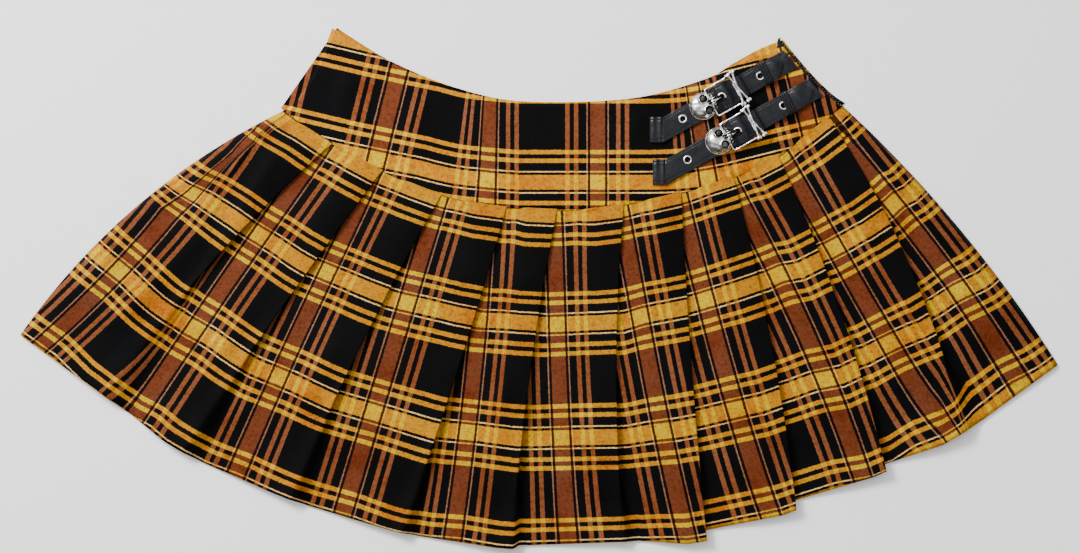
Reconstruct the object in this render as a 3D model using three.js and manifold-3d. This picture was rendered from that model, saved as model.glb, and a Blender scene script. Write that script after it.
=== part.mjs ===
// A pleated mini kilt laid flat on a table, front side up, with two buckled straps on the yoke.
// Millimetres, +Z up. X runs across the garment and +Y from the hem towards the waist.
import * as THREE from "three";
import { mergeVertices } from "three/addons/utils/BufferGeometryUtils.js";
import Module from "manifold-3d";

const wasm = await Module();
wasm.setup();

// Cloth and how its layers lie
const CLOTH = 1.0; // wall of the tartan cloth, mm
const YOKE_WALL = 1.4; // the yoke is cloth over a stiffening
const CLEAR = 0.3; // between pieces that touch or are sewn together
const PITCH = CLOTH + CLEAR; // from one folded layer to the next
const SEAM_GAP = 0.5; // between the yoke's lower edge and the pleats
const PLEAT_DEPTH = 20; // how far each knife pleat is folded under at the yoke
const OPEN_FROM = 2.5; // a fold shallower than this starts to open into a wave
const OPEN_SPAN = 5; // and is fully open when it has gone this much further
const EDGE_ROLL = 4; // width over which a front panel rolls down to its side seam
const FRONT_ROWS = 12; // steps from the yoke seam to the hem
const OPENING_ROWS = 5; // the back's rows where all its folds open together
const BACK_INSET = 2; // the back panel's side edges lie this far inside the front's
const BACK_SHORTER = 9; // and its hem this far above the front's

// Where the garment's outline box is centred, from the tables below
const MIDDLE = { x: -0.7, y: 0.7 };

// Edges of the yoke: places along them from the left side seam to the right, mm
const edge = (...places) => new THREE.SplineCurve(places.map(([x, y]) => new THREE.Vector2(x, y)));
const WAIST_FRONT = edge(
  [-166.5, 209],
  [-118.5, 181],
  [-64, 159],
  [-11, 149],
  [73, 151.5],
  [131, 166.5],
  [154.5, 178.5],
  [170, 187.5],
  [195, 194],
);
const WAIST_BACK = edge(
  [-163, 209.5],
  [-118, 182],
  [-64, 160.5],
  [-11, 150.5],
  [73, 153],
  [131, 168],
  [155, 181],
  [176, 192.5],
  [195, 200],
);
const YOKE_SEAM = edge(
  [-205.5, 143],
  [-166.5, 116.5],
  [-112, 88],
  [-59, 70],
  [-5, 64],
  [46.5, 64.5],
  [115, 77.5],
  [178.5, 99],
  [217.5, 126.5],
  [242.5, 147],
);
// How the two side seams of a yoke bend between waist and yoke seam
const FRONT_SIDES = { left: [-187, 153], right: [225.5, 155] };
const BACK_SIDES = { left: [-203, 152], right: [227.5, 158] };
const BACK_FLARE = 3; // the back yoke is this much wider at each end of the yoke seam

// Heights of the yoke's walls above the table
const YOKE_BACK_MID = YOKE_WALL / 2;
const YOKE_FRONT_MID = 5.5;
const YOKE_TOP = YOKE_FRONT_MID + YOKE_WALL / 2;
const SIDE_ROLL = 5; // width over which the front yoke rolls down to its side seams
const YOKE_COLUMNS = 36;
const YOKE_ROWS = 4;

// The front's pleats from left to right. The first and last rows are the side edges.
// top: x of the fold at the yoke seam. hem: its lower end. bow: sideways bend of the fold at half height.
// fold: how far it is folded under at the hem, less than 0 where it opens into a wave of that width.
// lift: height of the fold above its layers at the hem. step: how much shorter the cloth under it hangs.
const FRONT_PLEATS = [
  { top: -205.5, hem: [-417, -37], bow: -18, fold: 0, lift: 0, step: 0 },
  { top: -166.5, hem: [-348, -86.5], bow: -8, fold: -14, lift: 7, step: 0 },
  { top: -126.5, hem: [-286, -130.5], bow: -2, fold: -10, lift: 8, step: 0 },
  { top: -79, hem: [-200, -168.5], bow: -4, fold: -8, lift: 8, step: 0 },
  { top: -27, hem: [-111, -195], bow: 3, fold: -6, lift: 8, step: 0 },
  { top: 13.5, hem: [-23, -208], bow: -4, fold: -5, lift: 7, step: 3 },
  { top: 67, hem: [67, -202.5], bow: -6, fold: -4, lift: 6, step: 0 },
  { top: 113, hem: [133.5, -201.5], bow: -2, fold: 12, lift: 4, step: 8 },
  { top: 155, hem: [205, -177], bow: 5, fold: 9, lift: 4, step: 7 },
  { top: 191, hem: [277, -146], bow: 6.5, fold: 8, lift: 5, step: 5 },
  { top: 231, hem: [338, -115.5], bow: 13, fold: -12, lift: 8, step: 0 },
  { top: 242.5, hem: [415.5, -61], bow: 9, fold: 0, lift: 0, step: 0 },
];
const BACK_FOLD = -16; // the back's pleats open sooner, so that its lower half lies flat
const BACK_PLEATS = 11; // laid flat and evenly, folded the other way as the pleats run on round the body

// The two buckled straps. x, y, turn: the middle of the buckle and the strap's direction in degrees.
// Places along a strap are measured from the middle of its buckle. Left of its start the strap turns level.
const STRAPS = [
  { name: "upper", x: 146.5, y: 154, turn: 29, start: -55, holes: [-37, -1.7, 33.7], keeper: 38.5, tip: 54, end: 62 },
  { name: "lower", x: 159, y: 126.5, turn: 29.5, start: -67, holes: [-47, -1.7, 41], keeper: 45, tip: 67, end: 71 },
];
const LEVEL_END = 10.5; // length of the strap's level end, which is sewn to the yoke
const LEATHER = 1.2; // wall of a strap
const STRAP_WIDTH = 17.6;
const KEEPER = { width: 6.4, wall: 1.0 };
const SEAM_SKEW = 11; // degrees between a strap's end and the square across it, along the side seam
const TONGUE_SLOT = { left: -3.4, right: 3.2, width: 3.2 };
const FOLD_BACK = 16; // the short strap is turned round the bar and sewn down up to here
const EYELET = { hole: 1.9, barrel: 2.5, flange: 3.6, rise: 0.6, punched: 2.8 };
const BAR = { radius: 0.9, height: 2.7 };
const FRAME = { left: -11.2, right: 12.4, half: 12.6, wire: 2.2, tilt: 5, height: 5.2, rounding: 1.4 };
const BONE = { radius: 1.3, knob: 1.9, height: 6.8, spread: 1.5 };
const SKULL = { x: -19.6, y: 0.5, length: 9.6, width: 9.4, height: 5.0, floor: 3.0, brow: -15.4, eyes: 5.0 };

// The zip's tape, sewn in the right side seam, ends just above the waist
const ZIP = { inner: 8, outer: 1.8, wall: 1.0, above: 0.07, below: 0.9, rows: 10 };

const COLOURS = {
  tartan: { color: 0x8a6420, roughness: 0.85, metalness: 0 },
  leather: { color: 0x23252a, roughness: 0.45, metalness: 0 },
  nickel: { color: 0xc9c7c4, roughness: 0.25, metalness: 1 },
  tape: { color: 0x17171a, roughness: 0.8, metalness: 0 },
};

const lerp = THREE.MathUtils.lerp;
const smooth = THREE.MathUtils.smoothstep;

function material(finish) {
  return new THREE.MeshStandardMaterial(COLOURS[finish]);
}

// Place on a left-to-right edge curve at the given x
function placeAtX(curve, x) {
  let low = 0;
  let high = 1;
  for (let i = 0; i < 30; i++) {
    const middle = (low + high) / 2;
    if (curve.getPoint(middle).x < x) low = middle;
    else high = middle;
  }
  return curve.getPoint(low);
}

// A closed wall from rows of places, each with an upper and a lower point.
// Rows run from left to right and follow each other from the waist towards the hem.
function wallGeometry(rows) {
  const across = rows[0].length;
  const down = rows.length;
  const positions = [];
  for (const face of ["upper", "lower"]) {
    for (const row of rows) {
      for (const place of row) positions.push(...place[face]);
    }
  }
  const upper = (j, k) => j * across + k;
  const lower = (j, k) => (down + j) * across + k;
  const index = [];
  const quad = (a, b, c, d) => index.push(a, b, c, a, c, d);
  for (let j = 0; j < down - 1; j++) {
    for (let k = 0; k < across - 1; k++) {
      quad(upper(j, k), upper(j + 1, k), upper(j + 1, k + 1), upper(j, k + 1));
      quad(lower(j, k), lower(j, k + 1), lower(j + 1, k + 1), lower(j + 1, k));
    }
    quad(upper(j, 0), lower(j, 0), lower(j + 1, 0), upper(j + 1, 0));
    quad(lower(j, across - 1), upper(j, across - 1), upper(j + 1, across - 1), lower(j + 1, across - 1));
  }
  for (let k = 0; k < across - 1; k++) {
    quad(upper(0, k + 1), lower(0, k + 1), lower(0, k), upper(0, k));
    quad(upper(down - 1, k), lower(down - 1, k), lower(down - 1, k + 1), upper(down - 1, k + 1));
  }
  const geometry = new THREE.BufferGeometry();
  geometry.setAttribute("position", new THREE.Float32BufferAttribute(positions, 3));
  geometry.setIndex(index);
  geometry.computeVertexNormals();
  return geometry;
}

// A pleat's fold from the yoke seam to the hem, bent sideways by its bow
function foldPath(top, hem, bow) {
  const chord = hem.clone().sub(top);
  const side = new THREE.Vector2(-chord.y, chord.x).normalize();
  const control = top.clone().add(hem).multiplyScalar(0.5);
  control.addScaledVector(side, 2 * bow);
  return new THREE.QuadraticBezierCurve(top, control, hem);
}

// How far the fold is turned under, part of the way down
function foldDepth(pleat, down) {
  return lerp(PLEAT_DEPTH, pleat.fold, down);
}

// 0 where a pleat is pressed flat and 1 where it has opened into a wave
function openness(depth) {
  return smooth(OPEN_FROM - depth, 0, OPEN_SPAN);
}

// Height of a fold's top layer over its lowest one
function stackHeight(open) {
  return 2 * PITCH * (1 - open ** 2);
}

// The cloth's path round one fold: places across it (s, from the fold's edge) and heights.
// The face comes in on top, turns under at the edge, turns again at the inner fold and runs on to the right.
function foldSection(pleat, down) {
  const depth = foldDepth(pleat, down);
  const open = openness(depth);
  const lift = pleat.lift * down ** 1.5;
  const crest = lift + 2 * PITCH * (1 - open);
  const under = Math.max(depth, 0.8);
  const wave = 6 + Math.max(0, -depth);
  const pressed = [
    [-under - 3, 2 * PITCH + 0.5 * lift],
    [0, 2 * PITCH + lift],
    [0, PITCH + lift],
    [-under, PITCH],
    [-under, 0],
    [2.5, 0],
  ];
  const waved = [
    [-wave, 0.62 * crest],
    [-1.5, crest],
    [1.5, 0.97 * crest],
    [0.5 * wave, 0.5 * crest],
    [0.85 * wave, 0.1 * crest],
    [wave + 3, 0],
  ];
  const places = pressed.map(([s, z], i) => [lerp(s, waved[i][0], open), lerp(z, waved[i][1], open)]);
  return { stack: stackHeight(open), places };
}

// Height of the middle of the front's lowest layer: it lies on the back's folds, and comes down
// a little later than they open
function frontBase(down) {
  const backStack = stackHeight(openness(lerp(PLEAT_DEPTH, -OPEN_SPAN, down)));
  return CLOTH / 2 + backStack + PITCH + 0.2;
}

// The last face's places before the right edge: a front face rolls down there, a back face lies flat
function edgeSection(front, stack) {
  const flat = front ? 0.5 * stack : stack;
  return [[-3 * EDGE_ROLL, 0.5 * stack], [-EDGE_ROLL, flat]];
}

// One row across a pleated panel. front: layers stand on the back panel. Otherwise they lie on the table,
// the outer faces lowest.
function pleatRow(pleats, down, front) {
  const anchors = pleats.map((p) => p.path.getPoint(down));
  const under = pleats.map((p) => p.path.getPoint(down * (1 - p.step / p.length)));
  const last = pleats.length - 1;
  const places = [];
  let reach = 0;
  const edgeHeight = front ? 2 * CLOTH - CLOTH / 2 + CLEAR : CLOTH / 2;
  const raise = (height, stack) => (front ? frontBase(down) + height : CLOTH / 2 + stack - height);
  const add = (anchor, along, s, z) => {
    const plan = anchor.clone().addScaledVector(along, s);
    places.push({ x: plan.x, y: plan.y, along, s: reach + s, z });
  };
  pleats.forEach((pleat, i) => {
    const before = anchors[Math.max(0, i - 1)];
    const after = anchors[Math.min(last, i + 1)];
    const along = after.clone().sub(before).normalize();
    const { stack, places: section } = foldSection(pleat, down);
    if (i === 0) {
      add(anchors[i], along, 0, edgeHeight);
      add(anchors[i], along, EDGE_ROLL, front ? raise(0, stack) : edgeHeight);
      add(anchors[i], along, 3 * EDGE_ROLL, front ? raise(0, stack) : edgeHeight + 0.3 * stack);
    } else {
      reach += anchors[i].distanceTo(anchors[i - 1]);
      const arriving = i === last ? edgeSection(front, stack) : section;
      const start = places[places.length - 1];
      const [s, height] = arriving[0];
      const end = anchors[i].clone().addScaledVector(along, s);
      const endZ = raise(height, stack);
      const straight = end.clone().sub(new THREE.Vector2(start.x, start.y));
      const span = straight.length();
      straight.normalize();
      for (const [part, rise] of [[1 / 3, 0.26], [2 / 3, 0.74]]) {
        places.push({
          x: start.x + straight.x * span * part,
          y: start.y + straight.y * span * part,
          along: straight,
          s: lerp(start.s, reach + s, part),
          z: lerp(start.z, endZ, rise),
        });
      }
      if (i === last) {
        for (const [t, z] of arriving) add(anchors[i], along, t, raise(z, stack));
        add(anchors[i], along, 0, edgeHeight);
      } else {
        section.forEach(([t, z], k) => add(k < 3 ? anchors[i] : under[i], along, t, raise(z, stack)));
      }
    }
  });
  return places;
}

// Gives a row its thickness, with mitred corners, so that folded layers keep their distance
function thicken(places, wall) {
  const directions = places.slice(1).map((b, i) => {
    const a = places[i];
    return new THREE.Vector2(b.s - a.s, b.z - a.z).normalize();
  });
  return places.map((place, i) => {
    const before = directions[Math.max(0, i - 1)];
    const after = directions[Math.min(directions.length - 1, i)];
    const scale = wall / 2 / (1 + before.dot(after));
    const across = -(before.y + after.y) * scale;
    const up = (before.x + after.x) * scale;
    const shift = (sign) => [
      place.x + sign * across * place.along.x,
      place.y + sign * across * place.along.y,
      place.z + sign * up,
    ];
    return { upper: shift(1), lower: shift(-1) };
  });
}

// mirror is 1, or -1 for a panel that is worked out in mirror image
function pleatedPanel(table, downs, front, mirror = 1) {
  const onSeam = (x) => {
    const place = placeAtX(YOKE_SEAM, mirror * x);
    place.x *= mirror;
    return place;
  };
  const pleats = table.map((row) => {
    const path = foldPath(onSeam(row.top), new THREE.Vector2(...row.hem), row.bow);
    return { ...row, path, length: path.getLength() };
  });
  const offSeam = pleatRow(pleats, 0, front).map((place) => onSeam(place.x).y - place.y);
  return downs.map((down) => {
    const places = pleatRow(pleats, down, front);
    places.forEach((place, k) => (place.y += offSeam[k] * (1 - down) ** 3));
    return thicken(places, CLOTH);
  });
}

function skirtFront() {
  const downs = [];
  for (let j = 0; j <= FRONT_ROWS; j++) downs.push(j / FRONT_ROWS);
  return wallGeometry(pleatedPanel(FRONT_PLEATS, downs, true));
}

// The back panel: the same outline a little smaller, with even pleats that turn the other way.
// It is worked out in mirror image and turned round.
function skirtBack() {
  const first = FRONT_PLEATS[0];
  const last = FRONT_PLEATS[FRONT_PLEATS.length - 1];
  const frontHem = edge(...FRONT_PLEATS.map((p) => p.hem));
  const table = [];
  for (let i = 0; i <= BACK_PLEATS; i++) {
    const part = i / BACK_PLEATS;
    const side = 2 * part - 1;
    const top = lerp(first.top + BACK_INSET, last.top - BACK_INSET, part);
    const hem = frontHem.getPointAt(part);
    hem.x -= side * BACK_INSET;
    const upwards = placeAtX(YOKE_SEAM, top).sub(hem).normalize();
    hem.addScaledVector(upwards, BACK_SHORTER * (1 - 0.75 * side ** 8));
    table.push({
      top: -top,
      hem: [-hem.x, hem.y],
      bow: -(side < 0 ? first.bow : last.bow) * Math.abs(side) ** 1.5,
      fold: BACK_FOLD,
      lift: 0,
      step: 0,
    });
  }
  table.reverse();
  const downs = [0, 0.25];
  for (let j = 0; j < OPENING_ROWS; j++) {
    const depth = OPEN_FROM - (OPEN_SPAN * j) / (OPENING_ROWS - 1);
    downs.push((PLEAT_DEPTH - depth) / (PLEAT_DEPTH - BACK_FOLD));
  }
  downs.push(0.8, 1);
  const rows = pleatedPanel(table, downs, false, -1);
  for (const row of rows) {
    row.reverse();
    for (const place of row) {
      place.upper[0] *= -1;
      place.lower[0] *= -1;
      place.lower[2] = Math.max(0, place.lower[2]);
    }
  }
  return wallGeometry(rows);
}

// A yoke panel between its waist edge and the yoke seam, with bent sides
function yokePanel(waist, sides, flare, middleHeight, sideHeights) {
  const [left, right] = [waist.getPoint(0), waist.getPoint(1)];
  const [lowLeft, lowRight] = [YOKE_SEAM.getPoint(0), YOKE_SEAM.getPoint(1)];
  const leftEnd = lowLeft.clone().addScaledVector(YOKE_SEAM.getTangent(0), -flare);
  const rightEnd = lowRight.clone().addScaledVector(YOKE_SEAM.getTangent(1), flare);
  const leftSide = new THREE.QuadraticBezierCurve(left, new THREE.Vector2(...sides.left), leftEnd);
  const rightSide = new THREE.QuadraticBezierCurve(right, new THREE.Vector2(...sides.right), rightEnd);
  const columns = [0, SIDE_ROLL / 2 / 400, SIDE_ROLL / 400];
  for (let k = 1; k < YOKE_COLUMNS; k++) columns.push(k / YOKE_COLUMNS);
  columns.push(1 - SIDE_ROLL / 400, 1 - SIDE_ROLL / 2 / 400, 1);
  const rows = [];
  for (let j = 0; j <= YOKE_ROWS; j++) {
    const down = j / YOKE_ROWS;
    rows.push(
      columns.map((part) => {
        const top = waist.getPoint(part);
        const low = YOKE_SEAM.getPoint(part);
        low.addScaledVector(YOKE_SEAM.getTangent(part), lerp(-flare, flare, part));
        low.y += SEAM_GAP;
        const place = top.clone().lerp(low, down);
        const edgePlace = (part < 0.5 ? leftSide : rightSide).getPoint(down);
        const straightEdge = part < 0.5 ? left.clone().lerp(leftEnd, down) : right.clone().lerp(rightEnd, down);
        const near = Math.max(0, 1 - Math.min(part, 1 - part) * 6) ** 2;
        place.addScaledVector(edgePlace.sub(straightEdge), near);
        const roll = smooth(Math.min(part, 1 - part), 0, SIDE_ROLL / 400);
        const z = lerp(part < 0.5 ? sideHeights.left : sideHeights.right, middleHeight, roll);
        const half = YOKE_WALL / 2;
        return { upper: [place.x, place.y, z + half], lower: [place.x, place.y, z - half] };
      }),
    );
  }
  return rows;
}

// The zip's tape follows the right side seam between the two yokes
function zipTape() {
  const waistEnd = WAIST_FRONT.getPoint(1);
  const seamEnd = YOKE_SEAM.getPoint(1);
  const side = new THREE.QuadraticBezierCurve(waistEnd, new THREE.Vector2(...FRONT_SIDES.right), seamEnd);
  const rows = [];
  for (let j = 0; j <= ZIP.rows; j++) {
    const t = lerp(-ZIP.above, ZIP.below, j / ZIP.rows);
    const place = side.getPoint(Math.max(t, 0));
    const tangent = side.getTangent(Math.max(t, 0));
    place.addScaledVector(tangent, Math.min(t, 0) * side.getLength());
    const outward = new THREE.Vector2(-tangent.y, tangent.x);
    const inner = t < 0 ? 3 : ZIP.inner;
    const low = YOKE_WALL + CLEAR;
    rows.push(
      [-inner, ZIP.outer].map((reach) => {
        const p = place.clone().addScaledVector(outward, reach);
        return { upper: [p.x, p.y, low + ZIP.wall], lower: [p.x, p.y, low] };
      }),
    );
  }
  return wallGeometry(rows);
}

// Solids that are joined or cut
function solid(geometry) {
  const bare = geometry.clone();
  bare.deleteAttribute("normal");
  bare.deleteAttribute("uv");
  const merged = mergeVertices(bare, 1e-4);
  return new wasm.Manifold(
    new wasm.Mesh({
      numProp: 3,
      vertProperties: new Float32Array(merged.attributes.position.array),
      triVerts: new Uint32Array(merged.index.array),
    }),
  );
}
function fromSolid(body) {
  const mesh = body.getMesh();
  const geometry = new THREE.BufferGeometry();
  geometry.setAttribute("position", new THREE.BufferAttribute(mesh.vertProperties, 3));
  geometry.setIndex(new THREE.BufferAttribute(mesh.triVerts, 1));
  geometry.computeVertexNormals();
  return geometry;
}
function joined(bodies) {
  return bodies.reduce((whole, body) => whole.add(body));
}
function extruded(shape, depth) {
  return new THREE.ExtrudeGeometry(shape, { depth, bevelEnabled: false, curveSegments: 4 });
}
function boxBody(x0, x1, y0, y1, z0, z1) {
  const box = new THREE.BoxGeometry(x1 - x0, y1 - y0, z1 - z0);
  return solid(box.translate((x0 + x1) / 2, (y0 + y1) / 2, (z0 + z1) / 2));
}
function postBody(x, y, radius, z0, z1, sides = 14) {
  const post = new THREE.CylinderGeometry(radius, radius, z1 - z0, sides);
  post.rotateX(Math.PI / 2);
  return solid(post.translate(x, y, (z0 + z1) / 2));
}
function ovalBody(x, y, z, a, b, c, around = 16, high = 10) {
  const ball = new THREE.SphereGeometry(1, around, high);
  return solid(ball.scale(a, b, c).translate(x, y, z));
}

// A ribbon of leather: its side view is a path along the strap, given a thickness, and its width is straight
function ribbon(path, width) {
  const points = path.map(([x, z]) => ({ s: x, z, x, y: 0, along: new THREE.Vector2(1, 0) }));
  const skin = thicken(points, LEATHER);
  const outline = [
    ...skin.map((p) => new THREE.Vector2(p.upper[0], p.upper[2])),
    ...skin.map((p) => new THREE.Vector2(p.lower[0], p.lower[2])).reverse(),
  ];
  const geometry = extruded(new THREE.Shape(outline), width);
  geometry.rotateX(Math.PI / 2);
  return solid(geometry.translate(0, width / 2, 0));
}

// Heights of the middle of a strap's wall over the yoke
const ON_YOKE = CLEAR + LEATHER / 2;
const ON_SHORT = ON_YOKE + LEATHER + CLEAR;
const ON_FOLD = ON_SHORT + LEATHER + CLEAR;
const LOOP = BAR.radius + CLEAR + LEATHER / 2; // the short strap's radius round the bar
const OVER_BAR = BAR.height + LOOP + LEATHER + CLEAR;

// The strap that carries the eyelets: sewn to the yoke at its level left end, over the bar, to a pointed end
function longStrap(strap) {
  const path = [
    [strap.start - 2 * LEVEL_END, ON_YOKE],
    [-17, ON_YOKE],
    [-11.5, ON_YOKE + 0.4],
    [-7.5, ON_YOKE + 1.2],
    [-4.4, OVER_BAR - 0.8],
    [-2.6, OVER_BAR],
    [2, OVER_BAR],
    [4.6, OVER_BAR - 0.7],
    [8.5, ON_FOLD],
    [FOLD_BACK + 1.5, ON_FOLD],
    [FOLD_BACK + 5.5, ON_SHORT],
    [strap.tip, ON_SHORT],
  ];
  const half = STRAP_WIDTH / 2;
  const turn = THREE.MathUtils.degToRad(strap.turn);
  const level = new THREE.Vector2(-Math.cos(turn), Math.sin(turn)).multiplyScalar(LEVEL_END);
  const upright = half * Math.tan(turn);
  const foldLow = new THREE.Vector2(strap.start - upright, -half);
  const foldHigh = new THREE.Vector2(strap.start + upright, half);
  const plan = new THREE.Shape([
    foldLow,
    new THREE.Vector2(strap.tip - half, -half),
    new THREE.Vector2(strap.tip - 2.5, -half * 0.55),
    new THREE.Vector2(strap.tip, 0),
    new THREE.Vector2(strap.tip - 2.5, half * 0.55),
    new THREE.Vector2(strap.tip - half, half),
    foldHigh,
    foldHigh.clone().add(level),
    foldLow.clone().add(level),
  ]);
  let body = ribbon(path, STRAP_WIDTH + 2 * LEVEL_END).intersect(solid(extruded(plan, 12)));
  for (const x of strap.holes) body = body.subtract(postBody(x, 0, EYELET.punched, -1, 12));
  return fromSolid(body);
}

// The strap that carries the buckle: from the side seam, round the bar, back on itself and sewn down
function shortStrap(strap) {
  const turn = [];
  for (const degrees of [-90, -125, -160, -200, -235, -270]) {
    const angle = THREE.MathUtils.degToRad(degrees);
    turn.push([LOOP * Math.cos(angle), BAR.height + LOOP * Math.sin(angle)]);
  }
  const path = [
    [strap.end + 3, ON_YOKE],
    ...turn,
    [2.6, BAR.height + LOOP - 0.7],
    [6, ON_SHORT],
    [FOLD_BACK, ON_SHORT],
  ];
  const half = STRAP_WIDTH / 2;
  const skew = half * Math.tan(THREE.MathUtils.degToRad(SEAM_SKEW));
  const plan = new THREE.Shape([
    new THREE.Vector2(-10, -half),
    new THREE.Vector2(strap.end + skew, -half),
    new THREE.Vector2(strap.end - skew, half),
    new THREE.Vector2(-10, half),
  ]);
  const slot = TONGUE_SLOT.width / 2;
  return fromSolid(
    ribbon(path, STRAP_WIDTH + 2)
      .intersect(solid(extruded(plan, 12)))
      .subtract(boxBody(TONGUE_SLOT.left, TONGUE_SLOT.right, -slot, slot, -1, 12)),
  );
}

// The keeper loop over both straps, its ends down on the yoke
function keeper(strap) {
  const inner = STRAP_WIDTH / 2 + CLEAR;
  const outer = inner + KEEPER.wall;
  const roof = ON_SHORT + LEATHER / 2 + CLEAR + EYELET.rise + CLEAR;
  const arch = new THREE.Shape([
    new THREE.Vector2(-outer, CLEAR),
    new THREE.Vector2(-inner, CLEAR),
    new THREE.Vector2(-inner, roof),
    new THREE.Vector2(inner, roof),
    new THREE.Vector2(inner, CLEAR),
    new THREE.Vector2(outer, CLEAR),
    new THREE.Vector2(outer, roof + 0.4),
    new THREE.Vector2(inner - 0.6, roof + KEEPER.wall),
    new THREE.Vector2(-inner + 0.6, roof + KEEPER.wall),
    new THREE.Vector2(-outer, roof + 0.4),
  ]);
  const geometry = extruded(arch, KEEPER.width);
  geometry.rotateX(Math.PI / 2).rotateZ(Math.PI / 2);
  return geometry.translate(strap.keeper - KEEPER.width / 2, 0, 0);
}

// A metal eyelet: a barrel through the leather and a rolled flange on top
function eyelet(x, strapMiddle) {
  const top = strapMiddle + LEATHER / 2 + CLEAR;
  const bottom = strapMiddle - LEATHER / 2;
  const profile = [
    [EYELET.hole, bottom],
    [EYELET.barrel, bottom],
    [EYELET.barrel, top],
    [EYELET.flange, top],
    [EYELET.flange - 0.3, top + EYELET.rise],
    [EYELET.hole + 0.4, top + EYELET.rise],
    [EYELET.hole, bottom],
  ].map(([r, z]) => new THREE.Vector2(r, z));
  const ring = new THREE.LatheGeometry(profile, 14);
  return ring.rotateX(Math.PI / 2).translate(x, 0, 0);
}

// One bone: a shaft with two knobs at each end
function boneBodies(from, to) {
  const [a, b] = [new THREE.Vector3(...from, BONE.height), new THREE.Vector3(...to, BONE.height)];
  const shaft = new THREE.CylinderGeometry(BONE.radius, BONE.radius, a.distanceTo(b), 8);
  const along = b.clone().sub(a).normalize();
  shaft.applyQuaternion(new THREE.Quaternion().setFromUnitVectors(new THREE.Vector3(0, 1, 0), along));
  shaft.translate((a.x + b.x) / 2, (a.y + b.y) / 2, BONE.height);
  const side = new THREE.Vector3(-along.y, along.x, 0).multiplyScalar(BONE.spread);
  const bodies = [solid(shaft)];
  for (const end of [a, b]) {
    for (const sign of [-1, 1]) {
      const knob = end.clone().addScaledVector(side, sign);
      bodies.push(ovalBody(knob.x, knob.y, knob.z, BONE.knob, BONE.knob, BONE.knob * 0.85, 7, 5));
    }
  }
  return bodies;
}

// A plain skull on the frame's left side, its crown pointing away from the frame
function skullBody() {
  const { x, y, length, width, height, floor, brow, eyes } = SKULL;
  const head = joined([
    ovalBody(x, y, floor + 0.4, length, width, height),
    ovalBody(x + 7.4, y, floor + 1.4, 5.2, 6.6, 3.4, 14, 8),
    ovalBody(x + 10.2, y, floor + 2.2, 3.6, 4.6, 2.6, 12, 8),
  ]);
  const sockets = joined([
    ovalBody(brow, y + eyes * 0.9, floor + 5.6, 2.6, 2.5, 2.6, 10, 8),
    ovalBody(brow, y - eyes * 0.9, floor + 5.6, 2.6, 2.5, 2.6, 10, 8),
    ovalBody(brow + 3.8, y, floor + 5.2, 1.5, 1.1, 1.6, 8, 6),
  ]);
  const teeth = [-2.7, -0.9, 0.9, 2.7].map((tooth) => ovalBody(x + 12, y + tooth, floor + 3.2, 1.6, 0.85, 1.3, 7, 4));
  const belowHead = boxBody(x - 12, x + 9.4, -14, 14, -6, floor - 0.1);
  const belowJaw = boxBody(x + 9.3, x + 20, -14, 14, -6, floor + 2.5);
  return joined([head.subtract(sockets), ...teeth]).subtract(belowHead).subtract(belowJaw);
}

// The buckle is one casting: frame, bar, skull and crossed bones
function buckle() {
  const { left, right, half, wire, tilt, height, rounding } = FRAME;
  const ring = new THREE.Shape();
  const outline = (shape, x0, x1, y, r) => {
    shape.moveTo(x0 + r, -y);
    shape.lineTo(x1 - r, -y);
    shape.quadraticCurveTo(x1, -y, x1, -y + r);
    shape.lineTo(x1, y - r);
    shape.quadraticCurveTo(x1, y, x1 - r, y);
    shape.lineTo(x0 + r, y);
    shape.quadraticCurveTo(x0, y, x0, y - r);
    shape.lineTo(x0, -y + r);
    shape.quadraticCurveTo(x0, -y, x0 + r, -y);
  };
  outline(ring, left, right, half, rounding);
  const window = new THREE.Path();
  outline(window, left + wire, right - wire, half - wire, 0.4);
  ring.holes.push(window);
  const frame = extruded(ring, wire).translate(0, 0, -wire / 2);
  frame.rotateY(THREE.MathUtils.degToRad(-tilt)).translate(0, 0, height);
  const bar = new THREE.CylinderGeometry(BAR.radius, BAR.radius, 2 * half - wire, 10).translate(0, 0, BAR.height);
  const arms = [-1, 1].map((side) => {
    const inner = side * (half - wire + 0.1);
    const outer = side * (half - 0.2);
    return boxBody(-1.8, 1.8, Math.min(inner, outer), Math.max(inner, outer), BAR.height - 1, height);
  });
  return fromSolid(
    joined([
      solid(frame),
      solid(bar),
      ...arms,
      skullBody(),
      ...boneBodies([10.8, 11.8], [16, -12]),
      ...boneBodies([15, 12.4], [11.2, -12.6]),
    ]),
  );
}

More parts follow.
